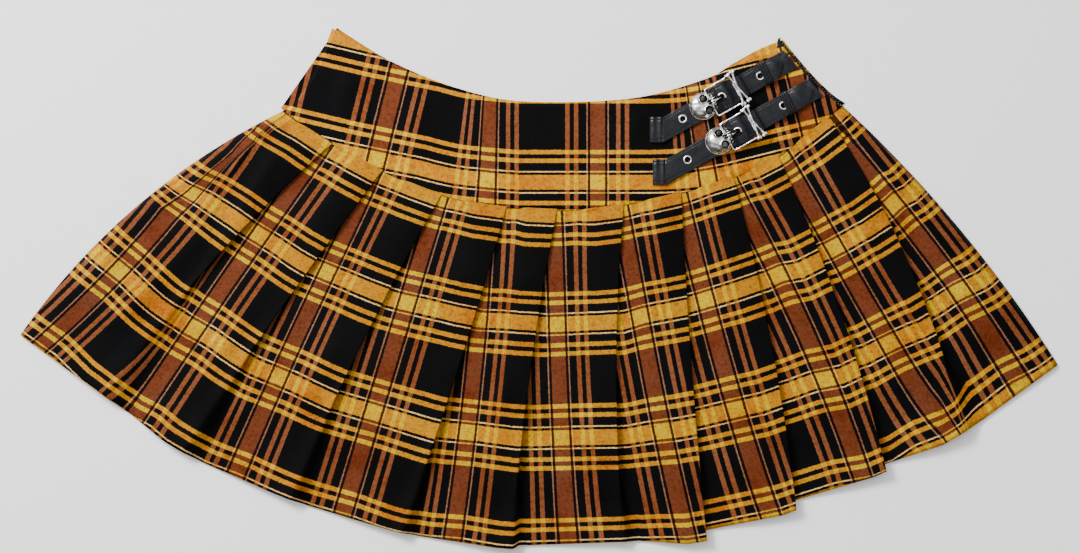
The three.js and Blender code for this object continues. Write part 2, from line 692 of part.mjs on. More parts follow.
// The prong: a ring round the bar in the short strap's slot, up through the eyelet, its tip on the jaw
function prong(strap) {
  const hole = strap.holes[1];
  const flangeTop = OVER_BAR + LEATHER / 2 + CLEAR + EYELET.rise;
  const half = 0.55;
  const ring = new THREE.Shape();
  ring.absarc(0, BAR.height, 2.1, 0, 2 * Math.PI);
  const bore = new THREE.Path();
  bore.absarc(0, BAR.height, BAR.radius + CLEAR, 0, 2 * Math.PI);
  ring.holes.push(bore);
  const run = new THREE.Shape([
    new THREE.Vector2(0.3, BAR.height + 1.3),
    new THREE.Vector2(hole + 1.1, OVER_BAR - 0.8),
    new THREE.Vector2(hole + 0.9, flangeTop + CLEAR + half),
    new THREE.Vector2(hole - 0.2, flangeTop + CLEAR + 2 * half),
    new THREE.Vector2(hole - 4.4, flangeTop + CLEAR + 2 * half),
    new THREE.Vector2(hole - 5.4, flangeTop + CLEAR + half),
    new THREE.Vector2(hole - 4.4, flangeTop + CLEAR),
    new THREE.Vector2(hole - 0.9, flangeTop + CLEAR),
    new THREE.Vector2(hole - 0.9, OVER_BAR - 0.8),
    new THREE.Vector2(-1.4, BAR.height + 1.3),
  ]);
  const width = 1.8;
  const upright = (shape) => {
    const geometry = new THREE.ExtrudeGeometry(shape, { depth: width, bevelEnabled: false, curveSegments: 10 });
    return solid(geometry.rotateX(Math.PI / 2).translate(0, width / 2, 0));
  };
  return fromSolid(upright(ring).add(upright(run)));
}

const kilt = new THREE.Group();
kilt.position.set(-MIDDLE.x, -MIDDLE.y, 0);

function piece(name, geometry, finish, parent = kilt) {
  const mesh = new THREE.Mesh(geometry, material(finish));
  mesh.name = name;
  parent.add(mesh);
}

piece("skirt_back", skirtBack(), "tartan");
piece(
  "yoke_back",
  wallGeometry(
    yokePanel(WAIST_BACK, BACK_SIDES, BACK_FLARE, YOKE_BACK_MID, { left: YOKE_BACK_MID, right: YOKE_BACK_MID }),
  ),
  "tartan",
);
piece("side_zip_tape", zipTape(), "tape");
piece("skirt_front", skirtFront(), "tartan");
const onBack = YOKE_WALL * 1.5 + CLEAR;
const onTape = onBack + ZIP.wall + CLEAR;
piece(
  "yoke_front",
  wallGeometry(yokePanel(WAIST_FRONT, FRONT_SIDES, 0, YOKE_FRONT_MID, { left: onBack, right: onTape })),
  "tartan",
);
for (const strap of STRAPS) {
  const group = new THREE.Group();
  group.position.set(strap.x, strap.y, YOKE_TOP);
  group.rotation.z = THREE.MathUtils.degToRad(strap.turn);
  kilt.add(group);
  piece(`short_strap_${strap.name}`, shortStrap(strap), "leather", group);
  piece(`long_strap_${strap.name}`, longStrap(strap), "leather", group);
  piece(`keeper_${strap.name}`, keeper(strap), "leather", group);
  piece(`buckle_${strap.name}`, buckle(), "nickel", group);
  piece(`prong_${strap.name}`, prong(strap), "nickel", group);
  strap.holes.forEach((x, i) => {
    const middle = [ON_YOKE, OVER_BAR, ON_SHORT][i];
    piece(`eyelet_${strap.name}_${i + 1}`, eyelet(x, middle), "nickel", group);
  });
}

export default kilt;
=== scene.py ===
"""A pleated tartan mini kilt, laid flat with its front up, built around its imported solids.
Tables are in millimetres in the kilt's own plan, X to the side with the buckles and Y up to the waist.
They become metres where a mesh is made."""

import math

import bpy
import numpy as np
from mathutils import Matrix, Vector


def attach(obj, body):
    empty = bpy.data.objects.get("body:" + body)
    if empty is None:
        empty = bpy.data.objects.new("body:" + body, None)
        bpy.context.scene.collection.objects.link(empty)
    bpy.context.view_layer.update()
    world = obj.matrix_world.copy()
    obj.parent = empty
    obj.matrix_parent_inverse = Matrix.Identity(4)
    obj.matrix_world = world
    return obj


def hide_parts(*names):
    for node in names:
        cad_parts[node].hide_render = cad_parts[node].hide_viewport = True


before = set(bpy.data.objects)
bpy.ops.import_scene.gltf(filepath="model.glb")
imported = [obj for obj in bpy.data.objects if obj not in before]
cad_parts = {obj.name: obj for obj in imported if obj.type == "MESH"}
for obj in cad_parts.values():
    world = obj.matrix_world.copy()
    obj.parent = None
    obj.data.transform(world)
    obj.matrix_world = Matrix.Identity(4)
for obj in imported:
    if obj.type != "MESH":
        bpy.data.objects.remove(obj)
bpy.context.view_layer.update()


# Back skirt panel.
# Woven tartan twill, cut on the grain, pressed in knife pleats and sewn to the back yoke. It lies
# under the front panel, its pleats turned the other way because they run on round the body.
CENTRE = np.array([-0.7, 0.7])  # middle of the garment's box in the plan
SETT = 90.0  # one repeat of the tartan
CLOTH = 0.5
LAYER = 1.3  # from one folded layer to the next
PLEAT_DEPTH = 20
SIDE_BEND = (12, 4, 0)  # distances from a side edge at which the panel bends down to it
OPEN_FROM, OPEN_SPAN = 2.5, 5  # a fold shallower than this opens into a wave, over this much
BACK_FOLD, BACK_PLEATS, BACK_INSET, BACK_SHORTER = -16, 11, 2, 9
SEAM_ROW, HEM_ROW = -0.025, 2.955  # places of the yoke seam and the hem in the sett
TUCK = 12  # distance from the yoke seam over which the pressed layers thicken
CREASE_RISE = 1.45  # how much higher the creases stand than their tables say
YOKE_SEAM = [(-205.5, 143), (-166.5, 116.5), (-112, 88), (-59, 70), (-5, 64)]
YOKE_SEAM += [(46.5, 64.5), (115, 77.5), (178.5, 99), (217.5, 126.5), (242.5, 147)]
# The front's folds from left to right. The first and last rows are the side edges.
# top, hem: the fold's ends. bow: its sideways bend. fold: how deep it is turned under at the hem, or how
# wide its wave is there if less than 0. lift: its height at the hem. step: how much shorter it is beneath.
# opens: above 1 where the fold opens later. over, under: columns of the sett on the fold's edge and just
# under it, at rows 0.5, 1.5 and 2.5. over_rows, under_rows: parts of the fold's length at which the sett's
# rows 1 and 2 cross it.
FOLD_COLUMNS = ("top", "hem", "bow", "fold", "lift", "step", "opens", "over", "over_rows", "under", "under_rows")
NONE = (0, 0, 0)
FOLD_ROWS = [
    (-205.5, (-417, -37), -18, 0, 0, 0, 1, NONE, (0.35, 0.68), (0.733, 0.429, 0.418), (0.366, 0.683)),
    (-166.5, (-348, -86.5), -8, -14, 7, 0, 1, (0.37, 0.28, 0.38), (0.346, 0.677), (0.657, 0.495, 0.414),
     (0.346, 0.679)),
    (-126.5, (-286, -130.5), -2, -10, 8, 0, 1, (0.26, 0.25, 0.23), (0.347, 0.673), (0.666, 0.459, 0.287),
     (0.336, 0.675)),
    (-79, (-200, -168.5), -4, -8, 8, 0, 1, (0.33, 0.3, 0.25), (0.331, 0.676), (0.612, 0.433, 0.294), (0.33, 0.672)),
    (-27, (-111, -195), 3, -6, 8, 0, 1, (0.34, 0.32, 0.27), (0.334, 0.677), (0.787, 0.556, 0.348), (0.337, 0.669)),
    (13.5, (-23, -208), -4, -5, 7, 3, 1, (0.29, 0.23, 0.22), (0.34, 0.671), (0.63, 0.44, 0.295), (0.331, 0.67)),
    (67, (67, -202.5), -6, -4, 6, 0, 1, (0.29, 0.23, 0.18), (0.352, 0.687), (0.617, 0.401, 0.245), (0.334, 0.679)),
    (113, (133.5, -201.5), -2, 12, 4, 8, 1, (0.21, 0.08, -0.06), (0.33, 0.674), (0.637, 0.45, 0.267), (0.313, 0.648)),
    (155, (205, -177), 5, 9, 4, 7, 1, (0.24, 0.18, 0.03), (0.315, 0.664), (0.647, 0.426, 0.201), (0.307, 0.644)),
    (191, (277, -146), 6.5, 8, 5, 5, 1, (0.18, 0.07, -0.03), (0.327, 0.667), (0.632, 0.49, 0.308), (0.304, 0.628)),
    (231, (338, -115.5), 13, -12, 8, 0, 2, (0.27, 0.2, -0.04), (0.34, 0.682), (0.7, 0.51, 0.266), (0.294, 0.614)),
    (242.5, (415.5, -61), 9, 0, 0, 0, 1, (-0.03, 0.04, 0.05), (0.312, 0.667), NONE, (0.3, 0.65)),
]
FOLDS = [dict(zip(FOLD_COLUMNS, row)) for row in FOLD_ROWS]
# The cloth isn't laid out evenly: how far the rows lie below their even place at the left, middle and right
# of each of the front's faces, at four places down it.
ROW_DOWNS, ROW_PARTS = (0.12, 0.34, 0.5, 0.88), (0.1, 0.5, 0.9)
ROW_DRIFT = [
    ((5, 4.5, 3.5), (5.2, 1.1, 1.2), (-3.5, -0.5, 3.5), (1, 0.5, 4.5)),
    ((3.5, 2.5, 2.5), (1.3, 0, 0), (0.5, 0, 1), (4.5, 1.5, 2)),
    ((2, 1.5, 1.5), (1.7, 1.5, 1.8), (1.5, 1, 2), (2.5, 1.2, 2)),
    ((1, 0, 0.5), (3.2, 1.5, 0.3), (2.5, 2, 0.5), (2.5, 2, 3.5)),
    ((1, 0.5, 2), (0.6, -1, -1.9), (1.5, 1, 0), (3, 1, 1.5)),
    ((1.5, 0.5, 1.5), (1.9, 0, -2.2), (1.5, -0.5, -2), (1.5, 1.5, 1.5)),
    ((1, 0, 0), (3.7, 0.5, -1.2), (3.5, 0, -2), (1.5, 0, -1)),
    ((0, -0.5, -1.5), (2.3, 1.6, 0.9), (1, 0, 0), (-0.5, -1, -1.5)),
    ((-1.5, -2, -1), (3.6, 0.7, 1.7), (3.5, 1, 2), (0.5, 0, 3)),
    ((-0.5, -1.5, -1.5), (4.2, 1, -3), (6.5, 1.5, -4), (3.5, -2, -3)),
    ((1, -0.5, 1), (6.6, 3.7, 3.9), (8.5, 3.5, 0.5), (-5.5, -7, -3.5)),
]
COLUMN_DRIFT = 0.9  # how far right the columns lie


def smooth(x, low, high):
    t = np.clip((x - low) / (high - low), 0, 1)
    return t * t * (3 - 2 * t)


def mix(a, b, part):
    return a + (b - a) * part


def unit(v):
    return v / np.linalg.norm(v)


def hump(x, middle, width):
    return np.exp(-(((x - middle) / width) ** 2))


def pulled(a, b, c, t):
    """Point of the curve from a to c that b pulls on."""
    return (1 - t) ** 2 * a + 2 * t * (1 - t) * b + t * t * c


def run_along(points):
    """Distances of points from the first one, along the line through them."""
    return np.concatenate([[0], np.cumsum(np.linalg.norm(np.diff(points, axis=0), axis=1))])


def curve_point(places, t):
    """Point of an even curve through places, t from 0 to 1."""
    p = np.array(places, float)
    last = len(p) - 1
    i = min(int(t * last), last - 1)
    f = t * last - i
    before, a, b, after = p[max(i - 1, 0)], p[i], p[i + 1], p[min(i + 2, last)]
    into, out = (b - before) / 2, (after - a) / 2
    return (2 * a - 2 * b + into + out) * f**3 + (3 * b - 3 * a - 2 * into - out) * f**2 + into * f + a


def place_at_x(places, x):
    low, high = 0.0, 1.0
    for _ in range(30):
        middle = (low + high) / 2
        low, high = (middle, high) if curve_point(places, middle)[0] < x else (low, middle)
    return curve_point(places, low)


def fold_path(top, hem, bow):
    """A fold from the yoke seam to the hem, as a function of how far down it is."""
    top, hem = np.array(top, float), np.array(hem, float)
    chord = hem - top
    bend = (top + hem) / 2 + 2 * bow * unit(np.array([-chord[1], chord[0]]))
    return lambda down: pulled(top, bend, hem, down)


def openness(depth):
    return float(smooth(OPEN_FROM - depth, 0, OPEN_SPAN))


def fold_section(fold, down):
    """Corners of the cloth's path round a fold, as distances from its edge and heights, how far it is
    open, and the height of its layers."""
    depth = mix(PLEAT_DEPTH, fold["fold"], max(down, 0) ** fold["opens"])
    wide = openness(depth)
    lift = fold["lift"] * max(down, 0) ** 1.5
    crest = lift + 2 * LAYER * (1 - wide)
    under = max(depth, 0.8)
    wave = 6 + max(0, -depth)
    pressed = [(-under - 3, 2 * LAYER + 0.5 * lift), (0, 2 * LAYER + lift), (0, LAYER + lift)]
    pressed += [(-under, LAYER), (-under, 0), (2.5, 0)]
    waved = [(-wave, 0.62 * crest), (-1.5, crest), (1.5, 0.97 * crest)]
    waved += [(0.5 * wave, 0.5 * crest), (0.85 * wave, 0.1 * crest), (wave + 3, 0)]
    return mix(np.array(pressed), np.array(waved), wide), wide, 2 * LAYER * (1 - wide**2)


def sett_place(fold, side, count, down, end):
    """Column and row of the sett on the fold's edge (over) or just under it."""
    first, second = fold[side + "_rows"]
    marks = [0, first, second, end]
    row = mix(SEAM_ROW, 1, down / first) if down < first else np.interp(down, marks, [SEAM_ROW, 1, 2, HEM_ROW])
    return np.array([count + np.polyval(fold[side + "_columns"], row), row])


def bend_round(corners, reach):
    """The path from the first corner to the last, with those between rounded off."""
    points = [corners[0]]
    for before, corner, after in zip(corners, corners[1:], corners[2:]):
        a, b = before - corner, after - corner
        start = corner + min(0.45 * np.linalg.norm(a), reach) * unit(a)
        end = corner + min(0.45 * np.linalg.norm(b), reach) * unit(b)
        points += [pulled(start, corner, end, t) for t in (0, 1 / 3, 2 / 3, 1)]
    return points + [corners[-1]]


def pinch(down, part):
    """How much further right the columns lie beside a small tuck in the first face, which runs out downward."""
    taken = np.interp(down, (0.08, 0.2, 0.3, 0.38, 0.46), (23, 21, 15, 9, 0))
    centre = np.interp(down, (0.08, 0.38), (0.17, 0.38))
    half = np.interp(down, (0.08, 0.2, 0.38), (0.05, 0.11, 0.25))
    return taken * (1 - smooth(part, centre - half, centre + half))


def drifted(sett, face, part, down):
    """A place in the sett with the drift there taken off. part: 0 to 1 across the face."""
    rows = np.interp(down, ROW_DOWNS, [np.interp(part, ROW_PARTS, values) for values in ROW_DRIFT[face]])
    columns = COLUMN_DRIFT + (pinch(down, part) if face == 0 else 0)
    return sett - np.array([columns, rows]) / SETT


def panel_row(folds, down, base):
    """A row across a pleated panel: points, and their places in the sett. base: height of a front panel's
    lowest layer, or None for the back, whose outer faces lie on the table."""
    last = len(folds) - 1
    ends = [1 - f["step"] / f["length"] for f in folds]
    anchors = [f["path"](down) for f in folds]
    beneath = [f["path"](down * e) for f, e in zip(folds, ends)]
    points, sett = [], []
    for i, fold in enumerate(folds):
        along = unit(anchors[min(last, i + 1)] - anchors[max(0, i - 1)])
        corners, wide, stack = fold_section(fold, down)

        def at(s, z, anchor=anchors[i]):
            height = CLOTH / 2 + stack - z if base is None else base + z
            return np.array([*(anchor + along * s), height])

        over = sett_place(fold, "over", i, down, 1)
        under = sett_place(fold, "under", i, down * ends[i], ends[i])
        if i in (0, last):
            side = 1 if i == 0 else -1
            height = stack if base is None else 0.5 * stack
            bend = [at(s * side, height) for s in SIDE_BEND]
            bend[2][2] = CLOTH / 2 + (0 if base is None else LAYER)
            edge = under if i == 0 else over
            bend_sett = [edge + [s * side / SETT, 0] for s in SIDE_BEND]
            if i == 0:
                bend, bend_sett = bend[::-1], bend_sett[::-1]
        else:
            path = [at(s, z, anchors[i] if k < 3 else beneath[i]) for k, (s, z) in enumerate(corners)]
            bend = bend_round(path, mix(0.62, 8, wide))
            run = run_along(bend)
            stops = [0, run[3], run[-1]]
            columns = [over[0] + corners[0][0] / SETT, over[0], under[0] + corners[-1][0] / SETT]
            columns, rows = np.interp(run, stops, columns), np.interp(run, stops, [over[1], over[1], under[1]])
            bend_sett = list(np.stack([columns, rows], 1))
        if i > 0:
            for part in np.linspace(0, 1, 20 if i == 1 else 10)[1:-1]:
                point = mix(start, bend[0], part)
                point[2] = mix(start[2], bend[0][2], smooth(part, 0, 1))
                points.append(point)
                place = mix(start_sett, bend_sett[0], part)
                sett.append(drifted(place, i - 1, mix(start_part, 0.95, part), down) if base else place)
        points += bend
        for k, place in enumerate(bend_sett):
            before, after = max(i - 1, 0), min(i, last - 1)
            share = k / (len(bend) - 1)
            if base and i == 0:
                place = drifted(place, 0, 0.2 * share, down)
            elif base:
                place = mix(drifted(place, before, 0.95, down), drifted(place, after, i // last, down), share)
            sett.append(place)
        start, start_sett, start_part = bend[-1], bend_sett[-1], 0 if i else 0.2
    return np.array(points), np.array(sett)


def crease_lift(points, creases):
    """Height of soft creases at points of the plan. Each is a ridge: from, to, width, height."""
    lift = np.zeros(points.shape[:-1])
    for k, (start, end, width, height) in enumerate(creases):
        start, end = np.array(start, float), np.array(end, float)
        length = np.linalg.norm(end - start)
        way = (end - start) / length
        along = (points[..., :2] - start) @ way / length
        off = (points[..., :2] - start) @ np.array([-way[1], way[0]]) + 0.05 * length * np.sin(2.6 * along + k)
        ridge = CREASE_RISE * height * (0.8 + 0.2 * np.sin(6 * along + 2 * k)) * hump(off, 0, width)
        lift += ridge * smooth(along, -0.15, 0.3) * smooth(1.15 - along, 0, 0.45)
    return lift


def pleated_panel(folds, downs, base, seam_at):
    """All rows of a pleated panel. The first row is pulled onto the yoke seam, and the layers are pressed
    thin beside it."""
    for fold in folds:
        fold["path"] = fold_path(seam_at(fold["top"]), fold["hem"], fold["bow"])
        fold["length"] = run_along([fold["path"](t) for t in np.linspace(0, 1, 40)])[-1]
        for side in ("over", "under"):
            fold[side + "_columns"] = np.polyfit((0.5, 1.5, 2.5), fold[side], 2)
    off_seam = [seam_at(x)[1] - y for x, y, z in panel_row(folds, 0, base and base(0))[0]]
    rows = []
    for down in downs:
        points, sett = panel_row(folds, down, base and base(down))
        points[:, 1] += np.array(off_seam) * (1 - down) ** 3
        low = CLOTH / 2 if base is None else base(down)
        press = mix(0.35, 1, smooth(down * folds[1]["length"], 0, TUCK))
        points[:, 2] = low + np.maximum(points[:, 2] - low, 0) * press + np.minimum(points[:, 2] - low, 0)
        rows.append((points, sett))
    return np.array([p for p, _ in rows]), np.array([c for _, c in rows])


def new_object(name, data):
    thing = bpy.data.objects.new(name, data)
    bpy.context.scene.collection.objects.link(thing)
    return thing


def kilt_piece(name, mesh, nodes=()):
    """A smooth piece of the kilt from its mesh. nodes: those that it stands for."""
    mesh.shade_smooth()
    piece = new_object(name, mesh)
    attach(piece, "root")
    if nodes:
        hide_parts(*nodes)
    return piece


def make_piece(name, places, faces, material, nodes=()):
    """A piece from places in the kilt's plan."""
    places = np.array(places, float).reshape(-1, 3)
    places[:, :2] -= CENTRE
    mesh = bpy.data.meshes.new(name)
    mesh.from_pydata((places / 1000).tolist(), [], [[int(i) for i in face] for face in faces])
    mesh.materials.append(material)
    return kilt_piece(name, mesh, nodes)


def grid_faces(down, across, closed=False):
    """Faces of a grid of points, closed round its rows or not."""
    corner = np.arange(down * across).reshape(down, across)
    if closed:
        corner = np.concatenate([corner, corner[:1]])
    return np.stack([corner[:-1, :-1], corner[1:, :-1], corner[1:, 1:], corner[:-1, 1:]], -1).reshape(-1, 4)


def shell(piece, thickness, offset=0):
    wall = piece.modifiers.new("wall", "SOLIDIFY")
    wall.thickness, wall.offset = thickness / 1000, offset


def cloth_piece(node, points, sett, material, thickness=CLOTH):
    """A cloth shell from a grid of points, with their places in the sett as its UV map."""
    faces = grid_faces(*points.shape[:2])
    piece = make_piece(f"{node}_cloth", points, faces, material, [node])
    places = sett.reshape(-1, 2)[faces.ravel()] + [0, WIDE_MIDDLE]
    piece.data.uv_layers.new(name="sett").uv.foreach_set("vector", places.astype(np.float32).ravel())
    shell(piece, thickness)
    return piece


# The tartan's sett, the same across and along the cloth: where each stripe starts, and its thread.
SETT_WIDTH = 110.5
WIDE_MIDDLE = 77.5 / SETT_WIDTH
STRIPES = [(0, "ground"), (45, "line"), (49.3, "ground"), (53.8, "line"), (58.1, "ground"), (66.2, "pale")]
STRIPES += [(67.4, "dark"), (70, "wide"), (85, "dark"), (87.4, "pale"), (88.6, "ground")]
STRIPES += [(96.1, "line"), (100.4, "ground"), (104.7, "line"), (109, "ground")]


# Colours of each column's thread where it crosses the black rows, the thin pale ones and the gold ones
ON_BLACK = dict(ground=(0.0011, 0.0011, 0.0014), line=(0.17, 0.052, 0.017), dark=(0.004, 0.0012, 0.001),
                pale=(0.2, 0.088, 0.045), wide=(0.115, 0.0285, 0.0095))
ON_PALE = dict(ground=(0.6, 0.37, 0.12), line=(0.5, 0.32, 0.01), dark=(0.12, 0.04, 0.008),
               pale=(0.6, 0.4, 0.12), wide=(0.46, 0.27, 0.01))
ON_GOLD = dict(ground=(0.4, 0.165, 0.004), line=(0.5, 0.31, 0.0), dark=(0.05, 0.012, 0.0015),
               pale=(0.5, 0.32, 0.03), wide=(0.48, 0.3, 0.0))
TWILL_RIB = 1.3


def feed(tree, node, inputs):
    """Gives a node its inputs, which are values or other nodes' sockets."""
    for key, value in inputs.items():
        if isinstance(value, bpy.types.NodeSocket):
            tree.links.new(value, node.inputs[key])
        else:
            node.inputs[key].default_value = value


def add(tree, kind, inputs=None, **settings):
    node = tree.nodes.new(kind)
    for name, value in settings.items():
        setattr(node, name, value)
    feed(tree, node, inputs or {})
    return node


def math_node(tree, operation, a, b=0.0):
    return add(tree, "ShaderNodeMath", {0: a, 1: b}, operation=operation).outputs[0]


def noise(tree, place, scale, detail, roughness=0.5):
    inputs = {"Vector": place, "Scale": scale, "Detail": detail, "Roughness": roughness}
    return add(tree, "ShaderNodeTexNoise", inputs).outputs["Fac"]


def ramp(tree, place, stops, steps=False):
    """Colours, or greys, between stops. With steps each holds up to the next."""
    node = add(tree, "ShaderNodeValToRGB", {0: place})
    node.color_ramp.interpolation = "CONSTANT" if steps else "LINEAR"
    elements = node.color_ramp.elements
    for i, (position, colour) in enumerate([stops[0], stops[-1], *stops[1:-1]]):
        element = elements[i] if i < 2 else elements.new(position)
        element.position = position
        element.color = (*(colour if isinstance(colour, tuple) else (colour,) * 3), 1)
    return node.outputs[0]


def blend_colours(tree, share, a, b, kind="MIX"):
    return add(tree, "ShaderNodeMix", {0: share, 6: a, 7: b}, data_type="RGBA", blend_type=kind).outputs[2]


def relief(tree, height, strength, distance, beneath=None):
    """The surface's direction, with a height worked into it."""
    inputs = {"Height": height, "Strength": strength, "Distance": distance}
    if beneath:
        inputs["Normal"] = beneath
    return add(tree, "ShaderNodeBump", inputs).outputs[0]


def new_material(name):
    """A material, its tree, its shader, and the place on the object."""
    material = bpy.data.materials.new(name)
    material.use_nodes = True
    tree = material.node_tree
    place = add(tree, "ShaderNodeTexCoord").outputs["Object"]
    return material, tree, tree.nodes["Principled BSDF"], place


def tartan(name, sett_size, painted_brightness):
    """Twill tartan on the UV map sett, one unit a repeat. The third argument is how much brighter the whole weave is
    painted, a painted light that lightens the yoke's copy of the same cloth.
    """
    material, tree, shader, place = new_material(name)
    waver = add(tree, "ShaderNodeTexNoise", {"Vector": place, "Scale": 900.0, "Detail": 1.0}).outputs["Color"]
    shift = add(tree, "ShaderNodeVectorMath", {0: waver, 1: (0.5, 0.5, 0.5)}, operation="SUBTRACT").outputs[0]
    shift = add(tree, "ShaderNodeVectorMath", {0: shift, "Scale": 0.012}, operation="SCALE").outputs[0]
    in_sett = add(tree, "ShaderNodeUVMap", uv_map="sett").outputs[0]
    in_sett = add(tree, "ShaderNodeVectorMath", {0: in_sett, 1: shift}).outputs[0]
    across, down = add(tree, "ShaderNodeSeparateXYZ", {0: in_sett}).outputs[:2]
    column, row = math_node(tree, "FRACT", across), math_node(tree, "FRACT", down)

    def striped(along, colours):
        stops = [(start / SETT_WIDTH, colours.get(thread, 0.0)) for start, thread in STRIPES]
        return ramp(tree, along, stops, True)

    on_black, on_pale, on_gold = (striped(column, colours) for colours in (ON_BLACK, ON_PALE, ON_GOLD))
    weave = blend_colours(tree, striped(row, dict(line=1.0, wide=1.0)), on_black, on_gold)
    weave = blend_colours(tree, striped(row, dict(pale=1.0)), weave, on_pale)

    # Uneven dye: gold and brown turn to orange or to straw in patches, and darken in fine specks
    patches = noise(tree, place, 26.0, 4.0, 0.65)
    stops = [(0.34, (0.8, 0.52, 0.3)), (0.46, (0.98, 0.9, 0.8)), (0.56, 1.0), (0.68, (1.1, 1.22, 1.6))]
    weave = blend_colours(tree, 0.85, weave, ramp(tree, patches, stops), "MULTIPLY")
    specks = noise(tree, place, 420.0, 4.0, 0.75)
    stops = [(0.36, (0.5, 0.4, 0.34)), (0.5, 1.0), (0.68, 1.25)]
    weave = blend_colours(tree, 0.75, weave, ramp(tree, specks, stops), "MULTIPLY")

    # Twill: fine diagonal ribs, in colour and in height
    ribs = math_node(tree, "MULTIPLY", math_node(tree, "ADD", across, down), 2 * math.pi * sett_size / TWILL_RIB)
    ribs = math_node(tree, "MULTIPLY", math_node(tree, "SINE", ribs), 0.35)
    rough = math_node(tree, "ADD", ribs, noise(tree, place, 2600.0, 2.0))
    # The shade also scales the whole weave by the given brightness: painted light.
    shade = ramp(tree, rough, [(0.1, 0.72 * painted_brightness), (0.9, 1.16 * painted_brightness)])
    weave = blend_colours(tree, 1.0, weave, shade, "MULTIPLY")
    feed(tree, shader, {"Base Color": weave, "Normal": relief(tree, rough, 0.35, 0.0002),
                        "Roughness": 0.7, "Specular IOR Level": 0.05})
    return material


skirt_cloth = tartan("tartan_skirt", SETT, 1.0)


def back_folds():
    """The back's folds from its own right to left, worked out in mirror image: even, and opening sooner."""
    first, last = FOLDS[0], FOLDS[-1]
    hem_line = [f["hem"] for f in FOLDS]
    fine = np.array([curve_point(hem_line, t) for t in np.linspace(0, 1, 400)])
    run = run_along(fine)
    folds = []
    for i in range(BACK_PLEATS + 1):
        part = i / BACK_PLEATS
        side = 2 * part - 1
        top = mix(first["top"] + BACK_INSET, last["top"] - BACK_INSET, part)
        hem = np.array([np.interp(part * run[-1], run, fine[:, k]) for k in (0, 1)])
        hem[0] -= side * BACK_INSET
        hem += unit(place_at_x(YOKE_SEAM, top) - hem) * BACK_SHORTER * (1 - 0.75 * side**8)
        bow = -(first["bow"] if side < 0 else last["bow"]) * abs(side) ** 1.5
        folds.append(dict(top=-top, hem=(-hem[0], hem[1]), bow=bow, fold=BACK_FOLD, lift=0, step=0,
                          opens=1, over=(0.25, 0.25, 0.25), over_rows=(0.34, 0.675),
                          under=(0.56, 0.3, 0.25), under_rows=(0.34, 0.675)))
    return folds[::-1]


def mirrored_seam(x):
    return place_at_x(YOKE_SEAM, -x) * [-1, 1]


BACK_CREASES = [
    ((-235, 98), (-330, -10), 11, 1.5), ((-160, 60), (-215, -70), 10, 1.2), ((-85, 40), (-120, -110), 12, 1.4),
    ((-10, 30), (-25, -130), 11, 1.2), ((60, 40), (70, -120), 12, 1.3), ((130, 50), (165, -100), 10, 1.4),
    ((200, 80), (262, -60), 11, 1.3), ((262, 95), (350, -30), 10, 1.5),
]
downs = np.concatenate([[-0.008, 0], np.linspace(0.006, 1, 68)])
points, sett = pleated_panel(back_folds(), downs, None, mirrored_seam)
points, sett = points[:, ::-1] * [-1, 1, 1], sett[:, ::-1]
below_yoke = smooth(downs, 0.02, 0.12)[:, None]
points[..., 2] += crease_lift(points, BACK_CREASES) * below_yoke
skirt_back = cloth_piece("skirt_back", points, sett, skirt_cloth)


# Front skirt panel.
# The same twill and pleats. Its layers lie on the back's folds and come down as those open. To the left
# the folds open into soft waves two thirds of the way down, and to the right they stay folded to the hem.
def front_base(down):
    return CLOTH + 2 * LAYER * (1 - openness(mix(PLEAT_DEPTH, -OPEN_SPAN, down)) ** 2) + LAYER + 0.2


FRONT_CREASES = [
    ((-206, 104), (-262, 25), 8, 2.4), ((-229, 118), (-256, 87), 3, 1.6), ((-256, 108), (-312, 60), 7, 1.6),
    ((-268, 58), (-335, -30), 9, 1.7), ((-330, 40), (-395, -42), 8, 1.4), ((-158, 78), (-182, 38), 8, 1.7),
    ((-205, 60), (-262, -15), 7, 1.1), ((-222, 10), (-275, -75), 9, 1.4), ((-106, 60), (-124, 22), 7, 1.6),
    ((-150, 45), (-196, -30), 8, 1), ((-150, -25), (-190, -100), 9, 1.5), ((-230, -80), (-250, -120), 6, 1.2),
    ((-47, 45), (-62, 0), 7, 1.5), ((-90, 30), (-140, -75), 9, 0.9), ((-75, -50), (-100, -120), 8, 1.4),
    ((-4, 45), (-12, 0), 7, 1.4), ((-40, 10), (-60, -90), 8, 0.9), ((-20, -60), (-35, -130), 7, 1.4),
    ((54, 52), (52, 5), 7, 1.4), ((15, 20), (15, -100), 9, 0.9), ((45, -60), (40, -140), 7, 1.2),
    ((105, 60), (106, 10), 7, 1.5), ((80, 10), (95, -100), 8, 0.9), ((108, -50), (112, -120), 6, 1.1),
    ((146, 72), (160, 25), 7, 1.5), ((135, 20), (160, -90), 8, 0.9), ((170, -50), (184, -110), 6, 1.3),
    ((196, -5), (205, -60), 5, 1.4), ((186, 85), (208, 40), 7, 1.5), ((195, 10), (228, -80), 8, 0.9),
    ((236, -40), (254, -100), 6, 1.2), ((222, 112), (252, 62), 7, 1.6), ((240, 60), (285, -40), 8, 1),
    ((288, 0), (305, -60), 6, 1.3), ((255, 128), (290, 80), 6, 1.2), ((285, 90), (340, 0), 8, 1.1),
    ((335, 20), (385, -55), 9, 1.4), ((318, -30), (350, -100), 7, 1.3),
]
downs = np.concatenate([[-0.008, 0], np.linspace(0.006, 1, 88)])
points, sett = pleated_panel(FOLDS, downs, front_base, lambda x: place_at_x(YOKE_SEAM, x))
below_yoke = smooth(downs, 0.02, 0.12)[:, None]
points[..., 2] += crease_lift(points, BACK_CREASES + FRONT_CREASES) * below_yoke
skirt_front = cloth_piece("skirt_front", points, sett, skirt_cloth)


